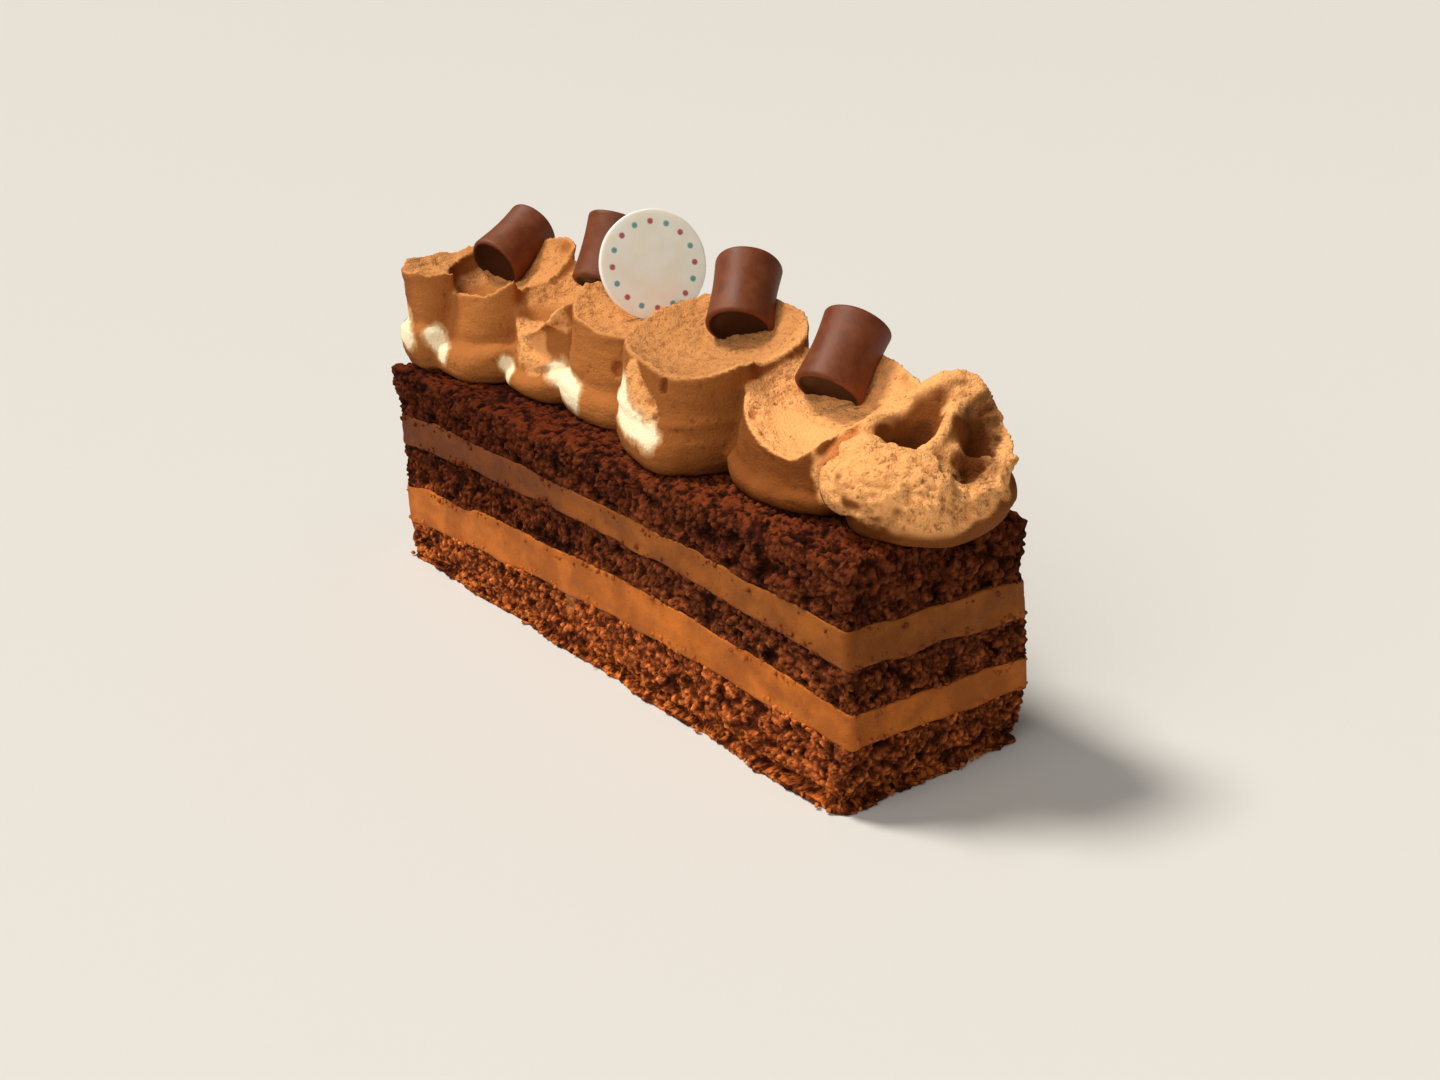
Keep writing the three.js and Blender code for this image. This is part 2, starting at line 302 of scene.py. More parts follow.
# One layer as rings: in across the underside, up the sides and in across the top. Each row is
# an inset from the side, a share of the layer's height and a drop below that height.
def layerMesh(name, under, over, rows, spacing, corner, wavy, grow=0.0):
    halfLength, halfWidth = cake["sides"]["near"][0], cake["sides"]["front"][0]
    ring = planRing(spacing, corner)
    rings = []
    for inset, share, drop in rows:
        u = ring[:, 0] * (1 - inset / halfLength)
        v = ring[:, 1] * (1 - inset / halfWidth)
        low = boundaryAt(under, u * halfLength, v * halfWidth) - grow
        high = boundaryAt(over, u * halfLength, v * halfWidth) + grow
        z = low + (high - low) * share - drop
        wave = wavy * np.sin(0.19 * u * halfLength + 0.9 * z) * np.cos(0.31 * v * halfWidth - 0.5 * z)
        x = u * (np.where(u < 0, sideAt("far", z), sideAt("near", z)) + wave)
        y = v * (np.where(v < 0, sideAt("front", z), sideAt("back", z)) - wave)
        rings.append(np.stack([x, y, z], 1))
    return ringMesh(name, np.array(rings))


# The rows of one layer: across its underside, round its lower edge, up its side, round its upper
# edge and over its top as far in as the inset.
def layerRows(sideRows, edgeRadius, height, topInset=0.0, topSpacing=0.4, topRadius=0.0):
    rows = [(9, 0, 0), (4, 0, 0), (1.6, 0, 0)]
    for turn in np.linspace(math.pi / 2, 0, 4, endpoint=False):
        rows.append((edgeRadius * math.sin(turn), 0, -edgeRadius * (1 - math.cos(turn))))
    topRadius = topRadius or edgeRadius
    topShare = 1 - topRadius / height
    rows += [(0, share, 0) for share in np.linspace(edgeRadius / height, topShare, sideRows)]
    turns = max(4, int(topRadius * 1.6 / topSpacing))
    for turn in np.linspace(0, math.pi / 2, turns + 1)[1:]:
        rows.append((topRadius * (1 - math.cos(turn)), 1, topRadius * (1 - math.sin(turn))))
    rows += [(inset, 1, 0) for inset in np.arange(topRadius + topSpacing, topInset, topSpacing)]
    return rows + [(max(topInset, topRadius) + extra, 1, 0) for extra in (2, 5)]


def newGeometryTree(name, inputs):
    tree = bpy.data.node_groups.new(name, "GeometryNodeTree")
    tree.interface.new_socket("Geometry", in_out="INPUT", socket_type="NodeSocketGeometry")
    for label, value in inputs.items():
        kind = "NodeSocketInt" if isinstance(value, int) else "NodeSocketFloat"
        socket = tree.interface.new_socket(label, in_out="INPUT", socket_type=kind)
        socket.default_value = value
    tree.interface.new_socket("Geometry", in_out="OUTPUT", socket_type="NodeSocketGeometry")
    return tree


def applyTree(piece, tree, values):
    modifier = piece.modifiers.new(tree.name, "NODES")
    modifier.node_group = tree
    for item in tree.interface.items_tree:
        if item.in_out == "INPUT" and item.name in values:
            modifier[item.identifier] = values[item.name]
    settle(piece)


def groupInputs(graph):
    node = graph.tree.nodes.new("NodeGroupInput")
    return {socket.name: Wire(graph, socket) for socket in node.outputs if socket.name}


def endTree(graph, geometry, material):
    real = graph.add("GeometryNodeRealizeInstances", {}, {"Geometry": geometry})
    dressed = graph.add("GeometryNodeSetMaterial", {}, {"Geometry": real, "Material": material})
    out = graph.tree.nodes.new("NodeGroupOutput")
    graph.tree.links.new(dressed.socket, out.inputs[0])


def smoothNormal(graph, rounds):
    facing = graph.add("GeometryNodeInputNormal")
    return graph.add("GeometryNodeBlurAttribute", {"data_type": "FLOAT_VECTOR"},
                     {"Value": facing, "Iterations": rounds})


def moveBy(graph, geometry, offset):
    return graph.add("GeometryNodeSetPosition", {}, {"Geometry": geometry, "Offset": offset})


def storeNode(graph, geometry, name, value):
    settings = {"data_type": "FLOAT", "domain": "POINT"}
    return graph.add("GeometryNodeStoreNamedAttribute", settings,
                     {"Geometry": geometry, "Name": name, "Value": value})


# Crumb: clumps and grains with deep gaps between them, and holes left by bubbles.
def makeCrumbTree(material):
    sizes = {"Grain": 1.15, "Clump": 3.0, "Depth": 0.6, "Gap Depth": 1.0, "Hole Spacing": 4.4,
             "Hole Depth": 1.2, "Undercut": 0.0, "Seed": 1}
    tree = newGeometryTree("crumbRelief", sizes)
    graph = Graph(tree)
    given = groupInputs(graph)
    place = graph.add("GeometryNodeInputPosition")
    x, z = graph.part(place, "X"), graph.part(place, "Z")
    smooth = smoothNormal(graph, 4)
    shift = graph.shifted(place, X=given["Seed"] * 37)
    drift = graph.vector("SUBTRACT", graph.noise(shift, 0.5, 3, output=1), (0.5, 0.5, 0.5))
    warped = graph.vector("ADD", shift, graph.scaled(drift, 1.3))
    grains = graph.cells(warped, 1 / given["Grain"])
    fine = graph.cells(warped, 2.1 / given["Grain"])
    clumps = graph.cells(warped, 1 / given["Clump"])
    rough = graph.noise(shift, 0.85, 4, 0.65)
    patch = graph.noise(shift, 0.28, 3)
    holes = graph.cells(warped, 1 / given["Hole Spacing"])
    chance = graph.part(graph.cells(warped, 1 / given["Hole Spacing"], 1), "X")
    hole = (chance * 0.3 - holes).step(0, 0.09)
    upward = graph.part(smooth, "Z")
    skin = upward.step(0.3, 0.75)
    dome = (1 - grains.step(0.15, 0.72)) * 0.9 + (1 - fine.step(0.05, 0.8)) * 0.3
    gap = (0.47 - rough).step(0, 0.13).most(clumps.step(0.52, 0.8) * 0.8)
    relief = (dome - 0.6) * given["Depth"] + (patch - 0.5) * 0.9
    relief = relief - gap * given["Gap Depth"] * (1 - skin * 0.65)
    relief = relief - hole * given["Hole Depth"] * (1 - skin * 0.6)
    ragged = (graph.noise(shift, 0.22, 3) - 0.36) * 7 + x.step(35, 70) * 0.8
    torn = (ragged.least(2.4).most(0) * (5 - z).step(0, 4)) * given["Undercut"]
    relief = (relief - torn).least(0.4).most(-3.2)
    keepFlat = graph.add("ShaderNodeCombineXYZ", {}, {0: 1, 1: 1, 2: z.step(0.2, 1.6)})
    moved = moveBy(graph, given["Geometry"], graph.vector("MULTIPLY", graph.scaled(smooth, relief), keepFlat))
    tint = graph.part(graph.cells(warped, 1 / given["Grain"], 1), "X")
    # The stored relief is low in gaps and holes, and darkens the sponge's colour there as painted shade.
    stored = storeNode(graph, moved, "relief", (dome - 0.6) * 0.6 - gap * 0.85 + (patch - 0.5) * 0.5 - hole)
    stored = storeNode(graph, stored, "grain", tint)
    endTree(graph, storeNode(graph, stored, "skin", skin), material)
    return tree


# Mousse: smooth and gently uneven, with a few pits.
def makeMousseTree(material):
    tree = newGeometryTree("mousseRelief", {"Swell": 0.22, "Pits": 0.25, "Seed": 1})
    graph = Graph(tree)
    given = groupInputs(graph)
    place = graph.add("GeometryNodeInputPosition")
    shift = graph.shifted(place, Y=given["Seed"] * 23)
    smooth = smoothNormal(graph, 3)
    swell = (graph.noise(shift, 0.16, 3, 0.6) - 0.5) * 2 * given["Swell"]
    pit = (0.13 - graph.cells(shift, 0.32)).step(0, 0.05) * given["Pits"]
    ripple = (graph.noise(shift, 0.9, 2) - 0.5) * 0.16
    relief = swell + ripple - pit
    moved = moveBy(graph, given["Geometry"], graph.scaled(smooth, relief))
    endTree(graph, storeNode(graph, moved, "relief", (relief + 0.2) * 2), material)
    return tree


# Cream: torn and bubbly where the rough attribute is 1, faintly drawn-out where it is 0.
def makeCreamTree(material):
    sizes = {"Tear": 0.9, "Bubble": 0.5, "Drawn": 0.24, "Flake": 3.2, "Seed": 1}
    tree = newGeometryTree("creamRelief", sizes)
    graph = Graph(tree)
    given = groupInputs(graph)
    place = graph.add("GeometryNodeInputPosition")
    shift = graph.shifted(place, Z=given["Seed"] * 31)
    rough = graph.add("GeometryNodeInputNamedAttribute", {"data_type": "FLOAT"}, {"Name": "rough"})
    smooth = smoothNormal(graph, 6)
    drift = graph.noise(shift, 0.7, 2, output=1)
    warped = graph.vector("ADD", shift, graph.scaled(graph.vector("SUBTRACT", drift, (0.5, 0.5, 0.5)), 1.4))
    patchy = graph.noise(shift, 0.16, 2).step(0.5, 0.62)
    torn = graph.noise(warped, 0.5, 4, 0.66) - 0.5
    lumps = 0.5 - graph.cells(warped, 0.5)
    bubbles = (0.24 - graph.cells(warped, 0.62)).step(0, 0.12)
    pinholes = (0.25 - graph.cells(shift, 1.2)).step(0, 0.12)
    ragged = (torn * 2 + lumps * 0.6) * given["Tear"] - (bubbles + pinholes * 0.45) * given["Bubble"]
    flakes = (graph.noise(warped, 0.26, 3, 0.6) - 0.5) * (rough - 1).most(0) * given["Flake"]
    stretched = graph.vector("MULTIPLY", shift, (0.1, 0.1, 0.75))
    wrinkles = graph.noise(graph.vector("MULTIPLY", warped, (0.35, 0.35, 1.1)), 0.6, 3, 0.6) - 0.5
    drawn = (graph.noise(stretched, 1, 3) - 0.5 + wrinkles) * 2 * given["Drawn"]
    drawn = drawn + (graph.noise(shift, 0.12, 1) - 0.5) * 0.5 - bubbles * patchy * 0.55
    relief = ragged * rough + flakes + drawn * (1 - rough)
    floorGuard = graph.part(place, "Z").step(cake["height"] + 0.6, cake["height"] + 2)
    moved = moveBy(graph, given["Geometry"], graph.scaled(smooth, relief * floorGuard))
    # The stored relief is low in tears, bubbles and pinholes, and darkens the colour there as painted shade.
    pored = (bubbles + pinholes) * (rough * 0.5 + patchy * 0.2)
    endTree(graph, storeNode(graph, moved, "relief", torn * rough - pored), material)
    return tree


def newMaterial(name):
    material = bpy.data.materials.new(name)
    material.use_nodes = True
    tree = material.node_tree
    graph = Graph(tree)
    shader = tree.nodes["Principled BSDF"]
    return material, graph, shader


def connect(graph, shader, **wires):
    names = {"baseColour": "Base Color", "roughness": "Roughness", "normal": "Normal"}
    for name, wire in wires.items():
        graph.tree.links.new(wire.socket, shader.inputs[names[name]])


def objectPlace(graph):  # in millimetres
    place = graph.add("ShaderNodeTexCoord", {}, {}, "Object")
    return graph.scaled(place, 1 / mm)


def attributeWire(graph, name):
    return graph.add("ShaderNodeAttribute", {"attribute_name": name}, {}, "Fac")


def bump(graph, height, distance, strength=1.0):
    values = {"Height": height, "Distance": distance * mm, "Strength": strength}
    return graph.add("ShaderNodeBump", {}, values)


def tinted(graph, factor, colour, tint):
    return graph.blend(factor, colour, graph.blend(1, colour, tint, "MULTIPLY"))


def setShader(shader, **values):
    names = {"specular": "Specular IOR Level", "roughness": "Roughness", "scatter": "Subsurface Weight",
             "radius": "Subsurface Radius", "scatterScale": "Subsurface Scale"}
    for name, value in values.items():
        shader.inputs[names[name]].default_value = value


spongeLook = {
    "stops": [
        (0.0, (0.010, 0.0020, 0.0008)),
        (0.3, (0.046, 0.0095, 0.0030)),
        (0.55, (0.135, 0.032, 0.0095)),
        (0.8, (0.24, 0.066, 0.019)),
        (1.0, (0.42, 0.165, 0.060)),
    ],
    "skin": (0.22, 0.045, 0.011),
    # Partly painted reflection: a warm bottom-edge colour for the crust and for light thrown up from below.
    "crustAndReflection": (0.17, 0.05, 0.010),
    # Partly painted reflection: the bottom layer is lightened as by warm light reflected from below.
    "lower": (4.2, 4.2, 3.2),  # the bottom layer is this much lighter
    "upper": (0.98, 0.92, 0.9),
    # Painted shade: the far end is darkened by this much.
    "far": (0.62, 0.52, 0.46),
    "smear": (0.40, 0.15, 0.045),  # mousse wiped on the side of the cake
    "smearAt": (-7.4, -21, 12.62),
}


def makeSpongeMaterial():
    material, graph, shader = newMaterial("chocolateCrumb")
    place = objectPlace(graph)
    relief = attributeWire(graph, "relief")
    grain = attributeWire(graph, "grain")
    skin = attributeWire(graph, "skin")
    speck = graph.noise(place, 2.4, 4, 0.7)
    patch = graph.noise(place, 0.12, 3)
    # Partly painted shade: the stored relief darkens the crumb's gaps and holes; grain, specks and patches
    # are the crumb's own tone.
    depth = (relief * 0.5 + 0.52) + (grain - 0.5) * 0.3 + (speck - 0.5) * 0.5 + (patch - 0.5) * 0.3
    colour = graph.add("ShaderNodeValToRGB", {"stops": spongeLook["stops"]}, {0: depth})
    redder = (skin + (patch - 0.5) * 1.6).step(0.3, 1) * 0.6 * depth.step(0.25, 0.6)
    colour = graph.blend(redder, colour, spongeLook["skin"])
    height = graph.part(place, "Z")
    # Crust on the raised crumbs of the bottom edge, partly painted reflection.
    edge = (5 - height + (patch - 0.5) * 7).step(0, 4) * depth.step(0.35, 0.7)
    colour = graph.blend(edge * 0.65, colour, spongeLook["crustAndReflection"])
    along = graph.part(place, "X")
    # Painted reflection from below lightens the bottom layer, less on the near end face, which is left darker
    # as painted shade.
    low = (30 - height).step(0, 23) * (1 - along.step(70, 74) * 0.45) * (0.45 + depth.step(0.35, 0.75) * 0.55)
    colour = tinted(graph, low, colour, spongeLook["lower"])
    high = (height - 27).step(0, 5)
    colour = tinted(graph, high, colour, spongeLook["upper"])
    # Painted shade: darker towards the far end, above the bottom layer.
    far = (30 - along).step(0, 80) * (height - 14).step(0, 8)
    colour = tinted(graph, far, colour, spongeLook["far"])
    away = graph.vector("SUBTRACT", place, spongeLook["smearAt"])
    away = graph.vector("MULTIPLY", away, (1, 0.3, 0.42))
    away = graph.add("ShaderNodeVectorMath", {"operation": "LENGTH"}, {0: away}, "Value")
    smear = 1.8 - (away + (speck - 0.5) * 2.4)
    colour = graph.blend(smear.step(0, 0.25), colour, spongeLook["smear"])
    connect(graph, shader, baseColour=colour,
            normal=bump(graph, graph.noise(place, 3.0, 4, 0.7), 0.4, 0.8))
    setShader(shader, roughness=0.95, specular=0.06)
    return material


mousseLook = {
    "dark": (0.20, 0.053, 0.0050),
    "light": (0.31, 0.088, 0.0092),
    "lower": (1.64, 1.6, 1.8),
    # Painted shade: the far end is darkened by this much.
    "far": (0.5, 0.42, 0.38),
    # Painted shade in the pits, and the colour of dragged crumbs.
    "pit": (0.07, 0.02, 0.007),
}


def makeMousseMaterial():
    material, graph, shader = newMaterial("chocolateMousse")
    place = objectPlace(graph)
    patch = graph.noise(place, 0.13, 3, 0.6)
    dots = (0.17 - graph.cells(place, 1.1)).step(0, 0.08)
    crumbs = (graph.noise(place, 0.8, 4, 0.7) - 0.66).step(0, 0.05)
    colour = graph.blend(patch.step(0.35, 0.7), mousseLook["dark"], mousseLook["light"])
    along = graph.part(place, "X")
    height = graph.part(place, "Z")
    low = (28 - height).step(0, 8)
    colour = tinted(graph, low, colour, mousseLook["lower"])
    # Painted shade: darker towards the far end, on the upper mousse.
    far = (30 - along).step(0, 80) * (1 - low)
    colour = tinted(graph, far, colour, mousseLook["far"])
    # Painted shade in the pit dots; the crumb specks are real dark crumbs.
    colour = graph.blend((dots * 0.4).most(crumbs * 0.6), colour, mousseLook["pit"])
    fine = graph.noise(place, 2.2, 4, 0.65)
    connect(graph, shader, baseColour=colour, roughness=(0.58 + (fine - 0.5) * 0.3),
            normal=bump(graph, fine - dots * 0.6, 0.25, 0.7))
    setShader(shader, specular=0.14, scatter=0.08, radius=(1.0, 0.4, 0.15), scatterScale=1.0 * mm)
    return material


creamLook = {
    # Partly painted light: aerated cream is paler, and this colour is also lightened for the light falling on
    # upward faces.
    "aerated": (1.0, 0.47, 0.165),
    # Partly painted shade: the smooth wall colour is also darkened for the shade on the walls.
    "smooth": (0.19, 0.051, 0.0075),
    "pale": (0.47, 0.165, 0.038),
    # Painted shade: dark colour for recesses and pores in the cream.
    "pit": (0.27, 0.078, 0.015),
    "ivory": (0.96, 0.79, 0.53),
    "mixed": (0.66, 0.40, 0.19),
    # Painted shade: near-black colour for the tail's concavities, where shade falls.
    "hollow": (0.085, 0.020, 0.002),
}


def makeCreamMaterial():
    material, graph, shader = newMaterial("whippedCream")
    place = objectPlace(graph)
    relief = attributeWire(graph, "relief")
    rough = attributeWire(graph, "rough")
    ivory = attributeWire(graph, "ivory")
    patch = graph.noise(place, 0.16, 3, 0.6)
    fine = graph.noise(place, 1.7, 5, 0.65)
    pores = (0.2 - graph.cells(place, 1.3)).step(0, 0.12) * (0.25 + rough * 0.6).least(0.7)
    # Mixed lightens the walls towards the pale colour, partly real ivory mixed in and partly painted light
    # and shade.
    paler = (patch - 0.5) * 0.55 + 0.3 + attributeWire(graph, "mixed") * 0.45
    colour = graph.blend(paler.most(0).least(1), creamLook["smooth"], creamLook["pale"])
    # Partly painted light: upward and torn faces take the lighter aerated colour, over the walls' darker
    # colour.
    colour = graph.blend(attributeWire(graph, "aerated"), colour, creamLook["aerated"])
    # Painted shade in recesses: low relief and pores darken towards the pit colour.
    deep = (0.02 - relief).step(0, 0.45)
    colour = graph.blend((deep * 0.55).most(pores * 0.35), colour, creamLook["pit"])
    # Painted shade: the tail's concavities are darkened towards the near-black colour.
    colour = graph.blend(attributeWire(graph, "hollow") * 0.8, colour, creamLook["hollow"])
    streaks = graph.noise(graph.vector("MULTIPLY", place, (0.4, 0.4, 0.22)), 1, 3, 0.55)
    mottled = ivory + ((fine - 0.5) * 0.16 + (streaks - 0.5) * 0.7) * ivory.step(0, 0.2)
    colour = graph.blend(mottled.step(0.08, 0.34) * 0.75, colour, creamLook["mixed"])
    colour = graph.blend(mottled.step(0.3, 0.54), colour, creamLook["ivory"])
    grains = graph.cells(place, 2.2)
    grainy = fine * (0.7 + rough * 0.4) - pores * 0.7 - grains * (0.2 + rough * 0.2)
    connect(graph, shader, baseColour=colour, roughness=(0.82 + rough * 0.1),
            normal=bump(graph, grainy, 0.5, 0.9))
    setShader(shader, specular=0.12, scatter=0.05, radius=(1.0, 0.5, 0.2), scatterScale=0.8 * mm)
    return material


chocolateLook = {
    "dark": (0.128, 0.028, 0.0066),
    "light": (0.183, 0.048, 0.0135),
    "scuff": (0.30, 0.12, 0.065),
    # Painted shade: near-black for the recessed base end, which lies in shade.
    "hollow": (0.022, 0.006, 0.002),
}


def makeChocolateMaterial():
    material, graph, shader = newMaterial("milkChocolate")
    place = objectPlace(graph)
    bloom = graph.noise(place, 0.35, 4, 0.6)
    scuff = graph.noise(graph.vector("MULTIPLY", place, (1, 1, 0.25)), 1.6, 4, 0.7)
    colour = graph.blend(bloom.step(0.3, 0.75), chocolateLook["dark"], chocolateLook["light"])
    colour = graph.blend(scuff.step(0.6, 0.8) * 0.3, colour, chocolateLook["scuff"])
    # Painted shade on the recessed base end.
    colour = graph.blend(attributeWire(graph, "hollow") * 0.9, colour, chocolateLook["hollow"])
    connect(graph, shader, baseColour=colour, roughness=(0.5 + (bloom - 0.4) * 0.3),
            normal=bump(graph, scuff, 0.14, 0.4))
    setShader(shader, specular=0.28, scatter=0.05, radius=(1.0, 0.4, 0.25), scatterScale=0.8 * mm)
    return material


discLook = {
    "ivory": (0.95, 0.87, 0.73),
    "pale": (0.98, 0.93, 0.82),
    "dots": [(0.42, 0.012, 0.045), (0.06, 0.32, 0.36)],
}


def makeDiscMaterial():
    material, graph, shader = newMaterial("ivoryDisc")
    place = objectPlace(graph)
    mark = attributeWire(graph, "mark")
    kind = attributeWire(graph, "kind")
    cloud = graph.noise(place, 0.25, 3)
    base = graph.blend(cloud.step(0.3, 0.7), discLook["ivory"], discLook["pale"])
    printed = graph.blend(kind, *discLook["dots"])
    speck = graph.noise(place, 4, 3)
    colour = graph.blend(mark * (0.72 + speck * 0.3), base, printed)
    connect(graph, shader, baseColour=colour, roughness=(0.36 + (cloud - 0.5) * 0.2),
            normal=bump(graph, graph.noise(place, 1.2, 4), 0.08, 0.4))
    setShader(shader, specular=0.45, scatter=0.6, radius=(1.0, 0.85, 0.65), scatterScale=2.5 * mm)
    return material


layers = [
    {"name": "spongeBottom", "node": "sponge_bottom", "under": "under", "over": "lowerMousseUnder",
     "height": 12.5},
    {"name": "spongeMiddle", "node": "sponge_middle", "under": "lowerMousseTop", "over": "upperMousseUnder",
     "height": 8.5},
    {"name": "spongeTop", "node": "sponge_top", "under": "upperMousseTop", "over": "top", "height": 10.2},
]
fillings = [
    {"name": "mousseLower", "node": "mousse_lower", "under": "lowerMousseUnder", "over": "lowerMousseTop"},
    {"name": "mousseUpper", "node": "mousse_upper", "under": "upperMousseUnder", "over": "upperMousseTop"},
]
crumb = {"spacing": 0.3, "topSpacing": 0.36, "corner": 1.6, "wavy": 0.45, "topRadius": 2.6, "topInset": 14,
         "undercut": 1.0,
         "pits": [  # middle, radius and depth of the largest holes
             {"at": (52.4, -21, 37.6), "radius": 1.9, "depth": 2.0},
             {"at": (75.6, -14.4, 11), "radius": 2.2, "depth": 2.6},
             {"at": (75.2, -14.2, 7.4), "radius": 2.0, "depth": 2.4},
             {"at": (-41, -21, 24.6), "radius": 1.5, "depth": 1.4},
             {"at": (18, -21, 40.4), "radius": 1.4, "depth": 1.4},
         ]}


# Presses a round hole into a side: towards the middle of the cake, across it or along it.
def sinkPit(piece, at, radius, depth):
    points = getPoints(piece)
    away = np.linalg.norm(points - at, axis=1) / radius
    inward = (0, -math.copysign(1, at[1]), 0) if abs(at[1]) > 20 else (-math.copysign(1, at[0]), 0, 0)
    points += np.outer(depth * np.clip(1 - away * away, 0, 1), inward)
    piece.data.vertices.foreach_set("co", points.ravel())


def makeSponges(material):
    tree = makeCrumbTree(material)
    for index, layer in enumerate(layers):
        onTop = layer["over"] == "top"
        spacing = crumb["topSpacing"] if onTop else crumb["spacing"]
        rows = layerRows(int(layer["height"] / spacing), 0.5, layer["height"],
                         crumb["topInset"] if onTop else 0, spacing, crumb["topRadius"] if onTop else 0)
        piece = layerMesh(layer["name"], layer["under"], layer["over"], rows, spacing,
                          crumb["corner"], crumb["wavy"])
        undercut = crumb["undercut"] if layer["under"] == "under" else 0.0
        applyTree(piece, tree, {"Seed": index + 1, "Undercut": undercut})
        for pit in crumb["pits"]:
            sinkPit(piece, **pit)
        finishPiece(piece, material, [layer["node"]])


def makeFillings(material):
    tree = makeMousseTree(material)
    for index, layer in enumerate(fillings):
        rows = layerRows(16, 0.3, 7)
        piece = layerMesh(layer["name"], layer["under"], layer["over"], rows, 0.5, 1.4, 0.15, grow=0.25)
        applyTree(piece, tree, {"Seed": index + 1})
        finishPiece(piece, material, [layer["node"]])


looseCrumbs = {"alongReach": 2.4, "acrossReach": 0.4, "perSquare": 0.3, "size": 0.5, "seed": 4}
smearedCrumbs = {"perSquare": 0.7, "size": 0.5, "seed": 9, "reach": 1.3, "proud": 0.02}


# Lumpy crumbs scattered over a strip, crowded in some places.
def makeCrumbScatterTree(material, fineness=4):
    tree = newGeometryTree("crumbScatter", {"Density": 0.3, "Size": 0.5, "Seed": 1})
    graph = Graph(tree)
    given = groupInputs(graph)
    place = graph.add("GeometryNodeInputPosition")
    crowded = graph.noise(place, 0.16, 2).step(0.42, 0.62) * given["Density"]
    spots = graph.add("GeometryNodeDistributePointsOnFaces", {},
                      {"Mesh": given["Geometry"], "Density": crowded, "Seed": given["Seed"]})
    ball = graph.add("GeometryNodeMeshIcoSphere", {}, {"Radius": 1, "Subdivisions": fineness})
    chance = graph.add("FunctionNodeRandomValue", {"data_type": "FLOAT"}, {2: 0.4, 3: 1.1}, 1)
    size = chance * chance * given["Size"]
    turn = graph.add("FunctionNodeRandomValue", {"data_type": "FLOAT_VECTOR"},
                     {0: (0, 0, 0), 1: (2 * math.pi,) * 3})
    placed = graph.add("GeometryNodeInstanceOnPoints", {}, {
        "Points": spots, "Instance": ball, "Scale": graph.scaled((1, 0.8, 0.7), size)})
    placed = graph.add("GeometryNodeRotateInstances", {}, {"Instances": placed, "Rotation": turn})
    real = graph.add("GeometryNodeRealizeInstances", {}, {"Geometry": placed})
    lumpy = (graph.noise(place, 1.7, 3, 0.6) - 0.5) * 0.8
    facing = graph.add("GeometryNodeInputNormal")
    moved = moveBy(graph, real, graph.scaled(facing, lumpy))
    # The stored relief darkens the lower parts of each crumb in the sponge colour, as painted shade.
    stored = storeNode(graph, moved, "relief", lumpy + 0.2)
    endTree(graph, storeNode(graph, stored, "grain", 0.55), material)
    return tree


def makeLooseCrumbs(material):
    ring = planRing(2, 3)
    rows = []
    for reach in (0, 1):
        x = ring[:, 0] * (sideAt("near", 0) - 0.3 + reach * looseCrumbs["alongReach"])
        y = ring[:, 1] * (sideAt("front", 0) + 0.2 + reach * looseCrumbs["acrossReach"])
        rows.append(np.stack([x, y, np.full(len(ring), looseCrumbs["size"] + 0.2)], 1))
    piece = meshFromArrays("looseCrumbs", np.concatenate(rows), ringFaces(0, len(ring), len(ring)))
    values = {"Density": looseCrumbs["perSquare"], "Size": looseCrumbs["size"], "Seed": looseCrumbs["seed"]}
    applyTree(piece, makeCrumbScatterTree(material), values)
    finishPiece(piece, material)


# Crumbs that the knife has dragged over the edges of the mousse.
def makeSmearedCrumbs(material):
    ring = planRing(1.2, 1.4)
    count = len(ring)
    x, y = ring[:, 0] * cake["sides"]["near"][0], ring[:, 1] * cake["sides"]["front"][0]
    rows, faces = [], []
    for filling in fillings:
        for edge, way in ((filling["under"], 1), (filling["over"], -1)):
            start = len(rows) * count
            for reach in (-0.2, smearedCrumbs["reach"]):
                z = boundaryAt(edge, x, y) + way * reach
                halfLength = np.where(ring[:, 0] < 0, sideAt("far", z), sideAt("near", z))
                halfWidth = np.where(ring[:, 1] < 0, sideAt("front", z), sideAt("back", z))
                half = np.stack([halfLength, halfWidth], 1) + smearedCrumbs["proud"]
                rows.append(np.column_stack([ring * half, z]))
            faces += ringFaces(start, start + count, count)
    piece = meshFromArrays("smearedCrumbs", np.concatenate(rows), faces)
    values = {"Density": smearedCrumbs["perSquare"], "Size": smearedCrumbs["size"],
              "Seed": smearedCrumbs["seed"]}
    applyTree(piece, makeCrumbScatterTree(material, 2), values)
    finishPiece(piece, material)


